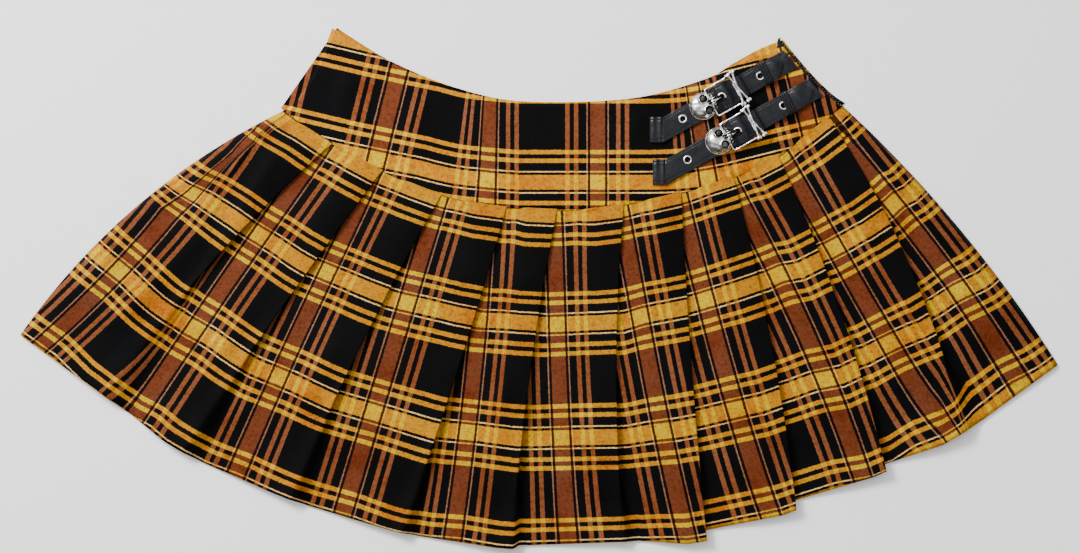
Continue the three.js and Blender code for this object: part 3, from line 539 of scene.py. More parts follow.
# Back and front yoke.
# Shaped bands of the same twill over a stiffening, turned under at the waist and sewn over the top of the
# pleats. The front one bulges over the straps' side and comes down to the back one at the side seams.
WAIST_FRONT = [(-166.5, 209), (-118.5, 181), (-64, 159), (-11, 149), (73, 151.5)]
WAIST_FRONT += [(131, 166.5), (154.5, 178.5), (170, 187.5), (195, 194)]
WAIST_BACK = [(-163, 209.5), (-118, 182), (-64, 160.5), (-11, 150.5), (73, 153)]
WAIST_BACK += [(131, 168), (155, 181), (176, 192.5), (195, 200)]
FRONT_SIDES, BACK_SIDES = [(-187, 153), (225.5, 155)], [(-203, 152), (227.5, 158)]  # where their side edges bend to
BACK_FLARE = 3  # the back yoke is this much wider at each end of the seam
YOKE_SETT = 88.4
YOKE_BAND = 85.6  # height in the plan of the yoke's gold band at the middle
YOKE_COLUMN = -16  # and where a repeat of its columns starts there
YOKE_CLOTH = 0.8
SIDE_ROLL = 5  # width over which the front yoke rolls down at its sides
BACK_HEIGHT, FRONT_HEIGHT, FRONT_SIDE_HEIGHTS = 0.7, 5.75, (2.4, 3.7)
BAND_TURN = math.tan(math.radians(14))


def band_slope(x):
    """Slope of the yoke's rows, which follow its bent shape at both ends."""
    return BAND_TURN * (smooth(x, 80, 168) - smooth(-x, 20, 112))


BAND_X = np.linspace(-260, 300, 561)
BAND_SLOPE = np.array([band_slope(x) for x in BAND_X])
MIDDLE_PLACE = int(np.argmin(abs(BAND_X - YOKE_COLUMN)))
BAND_RISE = np.cumsum(BAND_SLOPE)
BAND_RISE -= BAND_RISE[MIDDLE_PLACE]
BAND_RUN = np.cumsum(np.hypot(1, BAND_SLOPE))
BAND_RUN -= BAND_RUN[MIDDLE_PLACE]
# Here too the cloth isn't laid out evenly
BAND_RISE += np.interp(BAND_X, (-210, -155, -96, -69, -48, -16), (1, 1.6, 4, 2.4, 2, 0))
BAND_RUN += np.interp(BAND_X, (-210, -195, -160, -130, -100), (8, 7, 4, 1.6, 0))


def yoke_sett(x, y):
    """Column and row of the sett at a place on a yoke."""
    foot = x
    for _ in range(4):
        slope = np.interp(foot, BAND_X, BAND_SLOPE)
        foot = x + (y - YOKE_BAND - np.interp(foot, BAND_X, BAND_RISE)) * slope
    off = (YOKE_BAND + np.interp(foot, BAND_X, BAND_RISE) - y) * math.hypot(1, slope)
    return [np.interp(foot, BAND_X, BAND_RUN) / YOKE_SETT, off / YOKE_SETT]


def yoke_panel(waist, sides, flare, heights, middle, columns=170, rows=34, overlap=0.0):
    """Points of a yoke and their places in the sett. heights: at the left and right side seam."""
    corners = [curve_point(waist, 0), curve_point(waist, 1)]
    seam_ends = [curve_point(YOKE_SEAM, 0), curve_point(YOKE_SEAM, 1)]
    tangent = [unit(curve_point(YOKE_SEAM, 0.01) - seam_ends[0]), unit(seam_ends[1] - curve_point(YOKE_SEAM, 0.99))]
    lows = [seam_ends[0] - flare * tangent[0], seam_ends[1] + flare * tangent[1]]
    across = np.unique(np.r_[np.linspace(0, 0.02, 9), np.linspace(0.02, 0.98, columns), np.linspace(0.98, 1, 9)])
    down = np.unique(np.r_[np.linspace(0, 0.05, 6), np.linspace(0.05, 0.94, rows), np.linspace(0.94, 1, 7)])
    points, sett = [], []
    for j in down:
        row = []
        for part in across:
            end = 0 if part < 0.5 else 1
            top, low = curve_point(waist, part), curve_point(YOKE_SEAM, part)
            step = curve_point(YOKE_SEAM, min(part + 0.005, 1)) - curve_point(YOKE_SEAM, max(part - 0.005, 0))
            low = low + unit(step) * mix(-flare, flare, part)
            low[1] += 0.5 - overlap
            place = mix(top, low, j)
            curved = pulled(corners[end], np.array(sides[end]), lows[end], j)
            near = max(0, 1 - min(part, 1 - part) * 6) ** 2
            place = place + (curved - mix(corners[end], lows[end], j)) * near
            roll = smooth(min(part, 1 - part), 0, SIDE_ROLL / 400)
            height = mix(heights[end], middle, roll)
            row.append((*place, height))
            sett.append(yoke_sett(*place))
        points.append(row)
    points = np.array(points)
    return points, np.array(sett).reshape(*points.shape[:2], 2), down


# The yoke is the same twill painted brighter, as painted light.
yoke_cloth = tartan("tartan_yoke", YOKE_SETT, 1.2)
points, sett, _ = yoke_panel(WAIST_BACK, BACK_SIDES, BACK_FLARE, [BACK_HEIGHT] * 2, BACK_HEIGHT, 120, 14)
yoke_back = cloth_piece("yoke_back", points, sett, yoke_cloth, YOKE_CLOTH)
points, sett, down = yoke_panel(WAIST_FRONT, FRONT_SIDES, 0, FRONT_SIDE_HEIGHTS, FRONT_HEIGHT, overlap=0.9)
edge_drop = 1.1 * (1 - smooth(down, 0, 0.03)) + 0.75 * smooth(down, 0.965, 1)
points[..., 2] -= edge_drop[:, None] * smooth(points[..., 2], 4, 5.7)
YOKE_CREASES = [((-150, 175), (-158, 128), 9, 0.8), ((-95, 150), (-108, 100), 8, 0.7)]
YOKE_CREASES += [((-50, 140), (-62, 92), 9, 0.6), ((22, 138), (30, 84), 9, 0.5), ((78, 140), (60, 90), 8, 0.7)]
points[..., 2] += crease_lift(points, YOKE_CREASES) * smooth(np.minimum(down, 1 - down), 0, 0.15)[:, None]
yoke_side = points[3:-3, -2] + [0, 0, YOKE_CLOTH / 2]
yoke_front = cloth_piece("yoke_front", points, sett, yoke_cloth, YOKE_CLOTH)


# Long straps.
# Imitation leather, padded and stitched along its edges. Each is turned under and sewn to the yoke at its left
# end, carries three eyelets, passes over the buckle's bar and through the keeper, and ends in a round tip.
YOKE_TOP = 6.2
STRAPS = {
    "upper": dict(x=146.5, y=154, turn=29, start=-55, holes=(-37, -1.7, 33.7), keeper=38.5, tip=54, end=62),
    "lower": dict(x=159, y=126.5, turn=29.5, start=-67, holes=(-47, -1.7, 41), keeper=45, tip=67, end=71),
}
LEVEL_END, TIP_ROUND = 10.5, 9.5  # lengths of the end that is sewn to the yoke and of the rounded one
SKEWED = 14  # length over which that sewn end's slant is lost
LEATHER = 1.1
PUNCHED = 2.2  # radius of the holes
HALF = 8.8  # of a strap's width
STITCH_INSET = 1.9
BAR_RADIUS, BAR_HEIGHT = 0.9, 2.7
ON_YOKE, ON_SHORT, ON_FOLD = 0.9, 2.4, 3.9  # heights of a strap's middle on the yoke, on one strap, on two
LOOP = BAR_RADIUS + 0.9
OVER_BAR = BAR_HEIGHT + LOOP + 1.5
HALF_STATIONS = [1.8, 3.6, 5.2, 6.2, 6.55, 6.75, 6.9, 7.05, 7.25, 7.6, 8.0, 8.35, 8.6, HALF]
STATIONS = np.array([-b for b in HALF_STATIONS[::-1]] + [0] + HALF_STATIONS)


def strap_place(strap, points):
    """Places along, across and above a strap, moved to the kilt's plan."""
    p = np.asarray(points, float)
    angle = math.radians(strap["turn"])
    x = strap["x"] + p[..., 0] * math.cos(angle) - p[..., 1] * math.sin(angle)
    y = strap["y"] + p[..., 0] * math.sin(angle) + p[..., 1] * math.cos(angle)
    return np.stack([x, y, p[..., 2] + YOKE_TOP], -1)


def strap_piece(name, ending, strap, points, faces, material):
    """A piece at a strap, in place of the node of its name."""
    return make_piece(f"{name}_{ending}", strap_place(strap, points), faces, material, [name])


def thick(piece, thickness, rounding):
    """Gives a leather piece its thickness and rounded edges."""
    shell(piece, thickness)
    edge = piece.modifiers.new("edges", "BEVEL")
    edge.width, edge.segments, edge.limit_method, edge.angle_limit = rounding / 1000, 3, "ANGLE", math.radians(50)


def leather_finish(name, colour, gloss):
    """Pebbled imitation leather with a satin shine, duller where it is worn."""
    material, tree, shader, place = new_material(name)
    pebbles = add(tree, "ShaderNodeTexVoronoi", {"Vector": place, "Scale": 1300.0}, feature="SMOOTH_F1")
    grain = math_node(tree, "MULTIPLY", noise(tree, place, 2400.0, 4.0), 0.5)
    fine = relief(tree, math_node(tree, "ADD", pebbles.outputs["Distance"], grain), 0.3, 0.0002)
    wear = noise(tree, place, 90.0, 4.0, 0.65)
    dark, pale = [tuple(part * c for c in colour) for part in (0.6, 1.6)]
    feed(tree, shader, {"Base Color": ramp(tree, wear, [(0.35, dark), (0.7, pale)]),
                        "Roughness": ramp(tree, wear, [(0.3, gloss + 0.1), (0.7, gloss - 0.08)]),
                        "Normal": relief(tree, wear, 0.3, 0.003, fine), "Specular IOR Level": 0.22})
    return material


strap_leather = leather_finish("strap_leather", (0.006, 0.0068, 0.009), 0.3)


def leather_piece(name, strap, grid, faces, wall=LEATHER, rounding=0.35):
    thick(strap_piece(name, "leather", strap, grid, faces, strap_leather), wall, rounding)


def along_path(path, steps):
    """Even points on a smooth curve through path's places."""
    fine = np.array([curve_point(path, t) for t in np.linspace(0, 1, 400)])
    run = run_along(fine)
    return np.stack([np.interp(np.linspace(0, run[-1], steps), run, fine[:, k]) for k in range(fine.shape[1])], -1)


def padding(b):
    """Height of the padded leather over its edges, with a groove where it is stitched."""
    b = abs(np.asarray(b, float))
    return 0.55 * (1 - (b / HALF) ** 5) - 0.2 * hump(b, HALF - STITCH_INSET, 0.3)


def spread(strap, a):
    """How much wider the leather is pressed in the buckle, and how the keeper pinches it."""
    return 1 + 0.21 * math.exp(-(((a - 1) / 8.5) ** 4)) - 0.1 * hump(a, strap["keeper"], 4.5)


def strap_relief(strap, a, b):
    """Waves and swells of a long strap, which is pushed up over the bar and behind the keeper."""
    waves = 0.42 * np.sin(a / 5.2 + 0.6 + b / 14) * smooth(-a, 13, 22)
    waves = waves + 0.4 * np.sin(a / 4.6 + b / 8) * smooth(a, 15, 24)
    swell = 1.7 * hump(a, 4.2, 4.4) + 1.3 * hump(a, strap["keeper"] + 9, 4.2)
    return waves + swell * (1 - (b / HALF) ** 2) + 0.35


for strap in STRAPS.values():
    start, tip = strap["start"], strap["tip"]
    path = [(start, ON_YOKE), (mix(start, -17, 0.5), ON_YOKE), (-17, ON_YOKE), (-11.5, ON_YOKE + 0.4)]
    path += [(-7.5, ON_YOKE + 1.2), (-4.4, OVER_BAR - 0.8), (-2.6, OVER_BAR), (2, OVER_BAR)]
    path += [(4.6, OVER_BAR - 0.7), (8.5, ON_FOLD)]
    path += [(17.5, ON_FOLD), (21.5, ON_SHORT), (mix(21.5, tip, 0.5), ON_SHORT), (tip, ON_SHORT)]
    strap["path"] = along_path(path, 170)


def strap_top(strap, a, b):
    """Height of a long strap's upper face."""
    path = strap["path"]
    return np.interp(a, path[:, 0], path[:, 1]) + padding(b) + strap_relief(strap, a, b) + LEATHER / 2


for name, strap in STRAPS.items():
    slant = math.tan(math.radians(strap["turn"]))
    level = np.array([-math.cos(math.radians(strap["turn"])), math.sin(math.radians(strap["turn"]))]) * LEVEL_END
    rows = []
    for part in np.linspace(1, 0, 22)[:-1]:
        folds = 1.1 * hump(part, 0.2, 0.1) + 0.7 * hump(part, 0.72, 0.12)
        rows.append([(strap["start"] + b * slant + level[0] * part, b + level[1] * part,
                      ON_YOKE + padding(b) + folds * (0.7 + 0.3 * b / HALF) + 0.35 * (1 - part)) for b in STATIONS])
    for a, z in strap["path"]:
        lead = strap["tip"] - a
        narrow = min(1, (max(lead, 0) / TIP_ROUND) ** 0.6)
        skew = slant * max(0, 1 - (a - strap["start"]) / SKEWED)
        wide = max(narrow, 0.01) * spread(strap, a)
        rows.append([(a + b * skew, b * wide, z + padding(b) + strap_relief(strap, a, b * narrow))
                     for b in STATIONS])
    grid = np.array(rows)
    faces = grid_faces(*grid.shape[:2])
    middles = grid.reshape(-1, 3)[faces].mean(1)
    keep = np.ones(len(faces), bool)
    for a in strap["holes"]:
        keep &= np.hypot(middles[:, 0] - a, middles[:, 1]) > PUNCHED
    leather_piece(f"long_strap_{name}", strap, grid, faces[keep][:, ::-1])


# Short straps.
# The same leather, sewn into the side seam. Each goes round the buckle's bar and is sewn down on itself.
SEAM_SKEW = math.tan(math.radians(11))
FOLD_END = 16
SLOT_REACH, SLOT_HALF = 3.3, 1.5  # of the slot for the prong


def round_bar(radius, degrees):
    """Places along and above a strap, on an arc round the buckle's bar."""
    return [(radius * math.cos(t), BAR_HEIGHT + radius * math.sin(t)) for t in np.radians(degrees)]


for name, strap in STRAPS.items():
    path = [(strap["end"] + 2, ON_YOKE), (mix(strap["end"], 0, 0.4), ON_YOKE), (6, ON_YOKE)]
    path += round_bar(LOOP, range(-90, -271, -20))
    path += [(2.6, BAR_HEIGHT + LOOP - 0.7), (6, ON_SHORT), (FOLD_END, ON_SHORT)]
    rows = []
    for a, z in along_path(path, 170):
        if a > strap["end"]:
            continue
        near_end = smooth(a, strap["tip"] - 4, strap["end"])
        pucker = 0.9 * hump(a, strap["end"] - 4.5, 2.4) * near_end
        rows.append([(a - b * SEAM_SKEW * near_end, b * spread(strap, a),
                      z + padding(b) * near_end + pucker * math.cos(b / 3.1)) for b in STATIONS])
    grid = np.array(rows)
    faces = grid_faces(*grid.shape[:2])
    middles = grid.reshape(-1, 3)[faces].mean(1)
    slot = (abs(middles[:, 0]) < SLOT_REACH) & (abs(middles[:, 1]) < SLOT_HALF)
    leather_piece(f"short_strap_{name}", strap, grid, faces[~slot])


# Keepers.
# A narrow loop of the same leather over both straps, its ends sewn under the short one. It is ribbed along its
# length, where its edges are turned in.
KEEPER_WALL, KEEPER_WIDTH, KEEPER_RIB = 1.0, 6.4, 2.1
for name, strap in STRAPS.items():
    reach = HALF + 0.8
    roof = ON_SHORT + LEATHER / 2 + 1.2 + KEEPER_WALL / 2
    side = [(-reach, 0.4), (-reach, roof - 1.8), (1.2 - reach, roof - 0.2), (-reach / 2, roof + 0.1)]
    arch = side + [(0, roof + 0.2)] + [(-b, z) for b, z in side[::-1]]
    across = np.linspace(-KEEPER_WIDTH / 2, KEEPER_WIDTH / 2, 25)
    ribs = 0.22 * np.cos(across * 2 * math.pi / KEEPER_RIB) - 0.1 * (2 * across / KEEPER_WIDTH) ** 4
    grid = np.array([[(strap["keeper"] + a + 0.3 * math.sin(b / 5), b, z + rib * min(1, z / 3))
                      for a, rib in zip(across, ribs)] for b, z in along_path(arch, 60)])
    leather_piece(f"keeper_{name}", strap, grid, grid_faces(*grid.shape[:2])[:, ::-1], KEEPER_WALL, 0.3)


# Stitching on the straps.
# Lockstitches of waxed black thread in the grooves along both edges, round the tips and across the sewn ends.
REPEAT_SIZES = ("Spacing", "Length", "Width", "Height")


def repeat_tree(name, rounded):
    """Puts one shape at even steps along every line of a mesh."""
    tree = bpy.data.node_groups.new(name, "GeometryNodeTree")
    ports = tree.interface
    ports.new_socket("Lines", in_out="INPUT", socket_type="NodeSocketGeometry")
    for label in REPEAT_SIZES:
        ports.new_socket(label, in_out="INPUT", socket_type="NodeSocketFloat")
    ports.new_socket("Finish", in_out="INPUT", socket_type="NodeSocketMaterial")
    ports.new_socket("Geometry", in_out="OUTPUT", socket_type="NodeSocketGeometry")
    given = tree.nodes.new("NodeGroupInput").outputs
    line = add(tree, "GeometryNodeMeshToCurve", {"Mesh": given["Lines"]})
    steps = {"Curve": line.outputs[0], "Length": given["Spacing"]}
    steps = add(tree, "GeometryNodeResampleCurve", steps, mode="LENGTH")
    if rounded:
        shape = add(tree, "GeometryNodeMeshUVSphere", {"Segments": 6, "Rings": 4, "Radius": 0.5}).outputs[0]
    else:
        block = add(tree, "GeometryNodeMeshCube", {"Size": (1, 1, 1)})
        shape = {"Mesh": block.outputs[0], "Level": 1, "Edge Crease": 0.75}
        shape = add(tree, "GeometryNodeSubdivisionSurface", shape).outputs[0]
    tangent = add(tree, "GeometryNodeInputTangent").outputs[0]
    turn = add(tree, "FunctionNodeAlignRotationToVector", {"Vector": tangent}, axis="X")
    turn = {"Rotation": turn.outputs[0], "Vector": (0, 0, 1)}
    turn = add(tree, "FunctionNodeAlignRotationToVector", turn, axis="Z", pivot_axis="X")
    size = add(tree, "ShaderNodeCombineXYZ", {0: given["Length"], 1: given["Width"], 2: given["Height"]})
    placed = add(tree, "GeometryNodeInstanceOnPoints", {"Points": steps.outputs[0], "Instance": shape,
                                                        "Rotation": turn.outputs[0], "Scale": size.outputs[0]})
    single = add(tree, "GeometryNodeRealizeInstances", {"Geometry": placed.outputs[0]})
    finish = add(tree, "GeometryNodeSetMaterial", {"Geometry": single.outputs[0], "Material": given["Finish"]})
    tree.links.new(finish.outputs[0], tree.nodes.new("NodeGroupOutput").inputs[0])
    return tree


def repeated(name, tree, lines, sizes, material):
    """A piece of one shape repeated along lines in the kilt's plan. sizes: spacing, length, width, height."""
    places, edges = [], []
    for line in lines:
        edges += [(len(places) + i, len(places) + i + 1) for i in range(len(line) - 1)]
        places += [((x - CENTRE[0]) / 1000, (y - CENTRE[1]) / 1000, z / 1000) for x, y, z in line]
    mesh = bpy.data.meshes.new(name + "_lines")
    mesh.from_pydata(places, edges, [])
    guide = new_object(name + "_lines", mesh)
    maker = guide.modifiers.new("repeat", "NODES")
    maker.node_group = tree
    for item in tree.interface.items_tree:
        if item.in_out == "INPUT" and item.name != "Lines":
            values = dict(zip(REPEAT_SIZES, (size / 1000 for size in sizes)), Finish=material)
            maker[item.identifier] = values[item.name]
    made = bpy.data.meshes.new_from_object(guide.evaluated_get(bpy.context.evaluated_depsgraph_get()))
    bpy.data.objects.remove(guide)
    made.name = name
    kilt_piece(name, made)


def slanted_waves(tree, place, scale, distortion):
    inputs = {"Vector": place, "Scale": scale, "Distortion": distortion}
    return add(tree, "ShaderNodeTexWave", inputs, bands_direction="DIAGONAL").outputs["Fac"]


def thread_finish(name, colour):
    """Twisted sewing thread."""
    material, tree, shader, place = new_material(name)
    twist = slanted_waves(tree, place, 700.0, 1.5)
    dark, pale = [tuple(part * c for c in colour) for part in (0.6, 1.25)]
    feed(tree, shader, {"Base Color": ramp(tree, twist, [(0.2, dark), (0.8, pale)]),
                        "Normal": relief(tree, twist, 0.4, 0.0001),
                        "Roughness": 0.6, "Specular IOR Level": 0.2})
    return material


STITCHED_TIP, TIP_ARC = 9, 6.6  # where the round row at a strap's tip starts, and how far it reaches
stitches = repeat_tree("stitches", True)
black_thread = thread_finish("black_thread", (0.014, 0.015, 0.018))
for name, strap in STRAPS.items():
    inset = HALF - STITCH_INSET
    turning = strap["tip"] - STITCHED_TIP
    stations = np.linspace(strap["start"] + 6, turning, 140)
    lines = [[(a, side * spread(strap, a), strap_top(strap, a, side)) for a in stations] for side in (-inset, inset)]
    round_tip = [(turning + TIP_ARC * math.sin(t), inset * math.cos(t)) for t in np.linspace(0, math.pi, 24)]
    lines.append([(a, b, strap_top(strap, a, b)) for a, b in round_tip])
    near, far, skew = strap["tip"] + 2, strap["end"] - 2.6, inset * SEAM_SKEW
    sewn_end = [(near, -inset), (far + skew, -inset), (far - skew, inset), (near, inset)]
    for (a0, b0), (a1, b1) in zip(sewn_end, sewn_end[1:]):
        lines.append([(mix(a0, a1, t), mix(b0, b1, t), ON_YOKE + 0.5 * padding(mix(b0, b1, t)) + LEATHER / 2 + 0.3)
                      for t in np.linspace(0, 1, 12)])
    lines = [strap_place(strap, line) for line in lines]
    repeated(f"strap_stitches_{name}", stitches, lines, (2.5, 1.9, 0.5, 0.45), black_thread)


# Buckles.
# One nickel-plated casting each: a plain wire frame with a centre bar, a domed skull as its left side, whose
# crown points away from the frame, and crossed bones as its right side. The hollows are blackened, with painted
# shade and painted dark reflection in them and along the skull's outline.
FRAME = dict(left=-11.0, right=11.2, half=11.9, wire=0.85, height=5.4, tilt=5, rounding=1.4)
BONES = [((10.4, 12.6), (16.4, -12.4)), ((15.0, 13.4), (11.0, -12.9))]
BONE_HEIGHT = 7.0
SKULL = dict(x=-18.0, y=0.9, floor=2.4)


def bright_metal(name, colour, gloss):
    """Polished plating over an uneven casting. A point attribute darkens the deep places: partly a real blackening,
    partly painted shade and painted dark reflection.
    """
    material, tree, shader, place = new_material(name)
    black_and_shade = add(tree, "ShaderNodeAttribute", attribute_name="black_and_shade").outputs["Fac"]
    swells, waves = noise(tree, place, 170.0, 1.0), noise(tree, place, 420.0, 3.0)
    scratches = noise(tree, place, 2500.0, 2.0)
    uneven = math_node(tree, "MULTIPLY", math_node(tree, "SUBTRACT", waves, 0.5), 0.3)
    stops = [(0.12, colour), (0.42, (0.14, 0.13, 0.12)), (0.8, (0.008, 0.0075, 0.007))]
    feed(tree, shader, {"Base Color": ramp(tree, math_node(tree, "ADD", black_and_shade, uneven), stops),
                        "Roughness": ramp(tree, scratches, [(0.3, gloss), (0.75, gloss + 0.12)]),
                        "Normal": relief(tree, waves, 0.2, 0.0004, relief(tree, swells, 0.5, 0.0035)),
                        "Metallic": 1.0})
    return material


def set_black_and_shade(piece, shares):
    black_and_shade = piece.data.attributes.new("black_and_shade", "FLOAT", "POINT")
    black_and_shade.data.foreach_set("value", np.array(shares, np.float32))


buckle_metal = bright_metal("buckle_metal", (0.84, 0.83, 0.81), 0.14)


def ring_faces(rings, around):
    """Faces between closed rings of points."""
    corners = [(k, (k + 1) % around, around + (k + 1) % around, around + k) for k in range(around)]
    return [tuple(i * around + corner for corner in face) for i in range(rings - 1) for face in corners]


def tube_faces(rings, around):
    """The same with both ends closed."""
    ends = [tuple(range(around))[::-1], tuple(range((rings - 1) * around, rings * around))]
    return ring_faces(rings, around) + ends


def swept_tube(points, radii, sides=12, flat=1.0):
    """A tube along points with its own radius at each, closed at both ends."""
    p = np.array(points, float)
    rings = []
    for i, centre in enumerate(p):
        along = unit(p[min(i + 1, len(p) - 1)] - p[max(i - 1, 0)])
        side = unit(np.cross(along, [0, 0, 1])) if abs(along[2]) < 0.99 else np.array([1.0, 0, 0])
        up = np.cross(side, along)
        rings.append([centre + radii[i] * (side * math.cos(t) + flat * up * math.sin(t))
                      for t in np.linspace(0, 2 * math.pi, sides, endpoint=False)])
    return [v for ring in rings for v in ring], tube_faces(len(p), sides)


def ball(centre, radii, rings=9, around=14):
    """An oval body."""
    vertices = [centre + np.multiply(radii, (math.sin(t) * math.cos(turn), math.sin(t) * math.sin(turn), math.cos(t)))
                for t in np.linspace(0, math.pi, rings)[1:-1]
                for turn in np.linspace(0, 2 * math.pi, around, endpoint=False)]
    return vertices, [face[::-1] for face in tube_faces(rings - 2, around)]


def dome(x, y, centre, long, wide, high):
    return high * math.sqrt(max(0, 1 - ((x - centre) / long) ** 2 - (y / wide) ** 2))


def bell(x, y, cx, cy, wx, wy):
    return hump(x, cx, wx) * hump(y, cy, wy)


EYE = dict(x=2.8, y=5.2, radius=3.15)
SKULL_MIDDLE = 1.5


def skull_height(x, y, edge):
    """Height and darkness of the skull's relief: blackening in its hollows, with painted shade and painted dark
    reflection in the eyes, nose, temples and teeth and along the outline. edge: 0 in its middle to 1 on its outline.
    """
    parts = (dome(x, y, 0, 10.1, 10.2, 5.2), dome(x, y, 4.8, 6.2, 8.5, 4.3), dome(x, y, 8.4, 5.2, 5.4, 3.9))
    z = sum(part**8 for part in parts) ** (1 / 8)
    dark = 0
    # The eye sockets, nose and temples are darkened: blackening, with painted shade and painted dark reflection.
    for side in (-1, 1):
        away = math.hypot(x - EYE["x"], (y - side * EYE["y"]) * 0.96)
        inside = 1 - smooth(away, EYE["radius"] - 0.75, EYE["radius"])
        z += 0.75 * hump(away, EYE["radius"] + 0.35, 0.42)
        z = mix(z, 1.2 + 0.5 * hump(away, 0.6, 1.6), inside)
        dark = max(dark, 0.62 * inside, hump(away, EYE["radius"] - 0.6, 0.65))
        nose = bell(x, y, 6.6, side * 0.95, 1.5, 0.75)
        temple = bell(x, y, 7.6, side * 7.4, 1.5, 1.0)
        z += 0.8 * bell(x, y, 7.6, side * 5.0, 0.9, 1.8) + 0.9 * bell(x, y, -1.0, side * 5, 1.0, 3.0)
        z -= 1.6 * nose + 0.8 * temple
        dark = max(dark, 1.2 * nose, 0.6 * temple)
    teeth = smooth(x, 8.6, 9.1) * (1 - smooth(abs(y), 4.5, 5.1))
    gap = 1 - abs(math.cos(math.pi * y / 1.9)) ** 0.6
    bite = bell(x, 0, 10.8, 0, 0.3, 1)
    z += teeth * (1.3 * math.cos(math.pi * (x - 10.8) / 3.6) ** 2 - 1.6 * gap - 1.4 * bite)
    # Painted shade and blackening between the teeth.
    dark = max(dark, 1.3 * teeth * gap, 1.1 * teeth * bite)
    # A dark ring just inside the outline: painted shade and painted dark reflection.
    dark = max(dark, 0.9 * hump(edge, 0.957, 0.015))
    rim = smooth(edge, 0.963, 0.975) * (1 - smooth(edge, 0.99, 1))
    return max(z * (1 - smooth(edge, 0.955, 1)), 0) + 0.9 + 0.3 * rim, min(dark, 1)


def skull_relief():
    """Places, faces and darkness of a plain skull in relief, its crown towards -X. The darkness is blackening with
    painted shade and painted dark reflection, and the underside is painted in shade.
    """
    around, steps = 160, 64
    reach = []
    for k in range(around):
        turn, far = 2 * math.pi * k / around, 0
        for centre, long, wide in ((0, 10.8, 10.9), (5.0, 6.6, 8.9), (8.2, 4.6, 5.2)):
            dx, dy, ox = math.cos(turn) / long, math.sin(turn) / wide, (SKULL_MIDDLE - centre) / long
            a, b, c = dx * dx + dy * dy, dx * ox, ox * ox - 1
            if b * b > a * c:
                far = max(far, (-b + math.sqrt(b * b - a * c)) / a)
        reach.append(far)
    reach = sum(np.roll(reach, shift) * (4 - abs(shift)) for shift in range(-3, 4)) / 16
    vertices, shade_and_black = [], []
    for i in range(steps + 1):
        share = math.sin(i / steps * math.pi / 2) ** 0.9
        for k in range(around):
            turn = 2 * math.pi * k / around
            x, y = SKULL_MIDDLE + share * reach[k] * math.cos(turn), share * reach[k] * math.sin(turn)
            z, dark = skull_height(x, y, share)
            vertices.append((x, y, z))
            shade_and_black.append(dark)
    last = len(vertices)
    vertices += [(x, y, 0) for x, y, _ in vertices[-around:]]
    # The underside is painted dark, as painted shade.
    shade_and_black += [0.4] * around
    faces = [face[::-1] for face in ring_faces(steps + 2, around)]
    faces.append(tuple(range(last, last + around))[::-1])
    return np.array(vertices), faces, shade_and_black


def joined(parts):
    """Vertices and faces of several parts as one."""
    vertices, faces = [], []
    for part_vertices, part_faces in parts:
        faces += [tuple(i + len(vertices) for i in face) for face in part_faces]
        vertices += [tuple(v) for v in part_vertices]
    return vertices, faces


def frame_body():
    left, right, half, rounding = FRAME["left"], FRAME["right"], FRAME["half"], FRAME["rounding"]
    corners = []
    for cx, cy, start in ((right, half, 0), (left, half, 90), (left, -half, 180), (right, -half, 270)):
        middle = (cx - math.copysign(rounding, cx), cy - math.copysign(rounding, cy))
        corners += [(middle[0] + rounding * math.cos(math.radians(start + d)),
                     middle[1] + rounding * math.sin(math.radians(start + d))) for d in (0, 22, 45, 68, 90)]
    corners.append(corners[0])
    rise = math.tan(math.radians(FRAME["tilt"]))
    fine = []
    for (x0, y0), (x1, y1) in zip(corners, corners[1:]):
        steps = 1 if math.hypot(x1 - x0, y1 - y0) < 1 else 6
        fine += [(mix(x0, x1, t), mix(y0, y1, t)) for t in np.linspace(0, 1, steps, endpoint=False)]
    fine.append(fine[0])
    return swept_tube([(x, y, FRAME["height"] + x * rise) for x, y in fine], [FRAME["wire"]] * len(fine), 12, 1.2)


def bone_body(start, end, rise):
    a, b = np.array([*start, BONE_HEIGHT + rise]), np.array([*end, BONE_HEIGHT - rise])
    along = unit(b - a)
    side = np.array([-along[1], along[0], 0])
    ts = np.linspace(0, 1, 17)
    parts = [swept_tube([mix(a, b, t) for t in ts], [0.85 + 0.5 * abs(2 * t - 1) ** 4 for t in ts], 12)]
    for place, outward in ((a, -1), (b, 1)):
        parts += [ball(place + side * hand * 1.15 + along * outward * 0.3, (1.45, 1.45, 1.3)) for hand in (-1, 1)]
    return parts


skull_points, skull_faces, skull_shade_and_black = skull_relief()
skull_points = skull_points + [SKULL["x"], SKULL["y"], SKULL["floor"]]
for name, strap in STRAPS.items():
    half = FRAME["half"]
    bar = swept_tube([(0, y, BAR_HEIGHT) for y in (-half, 0, half)], [BAR_RADIUS] * 3)
    arms = [swept_tube([(0, y, BAR_HEIGHT - 0.5), (0, y, FRAME["height"])], [0.8, 0.8]) for y in (-half, half)]
    bodies = [frame_body(), bar, *arms]
    for (start, end), rise in zip(BONES, (0.3, -0.3)):
        bodies += bone_body(start, end, rise)
    vertices, faces = joined(bodies)
    casting = make_piece(f"buckle_{name}_frame", strap_place(strap, vertices), faces, buckle_metal)
    melt = casting.modifiers.new("casting", "REMESH")
    melt.mode, melt.voxel_size, melt.use_smooth_shade = "VOXEL", 0.00024, True
    even = casting.modifiers.new("even", "SMOOTH")
    even.factor, even.iterations = 0.5, 4
    skull = strap_piece(f"buckle_{name}", "skull", strap, skull_points, skull_faces, buckle_metal)
    set_black_and_shade(skull, skull_shade_and_black)
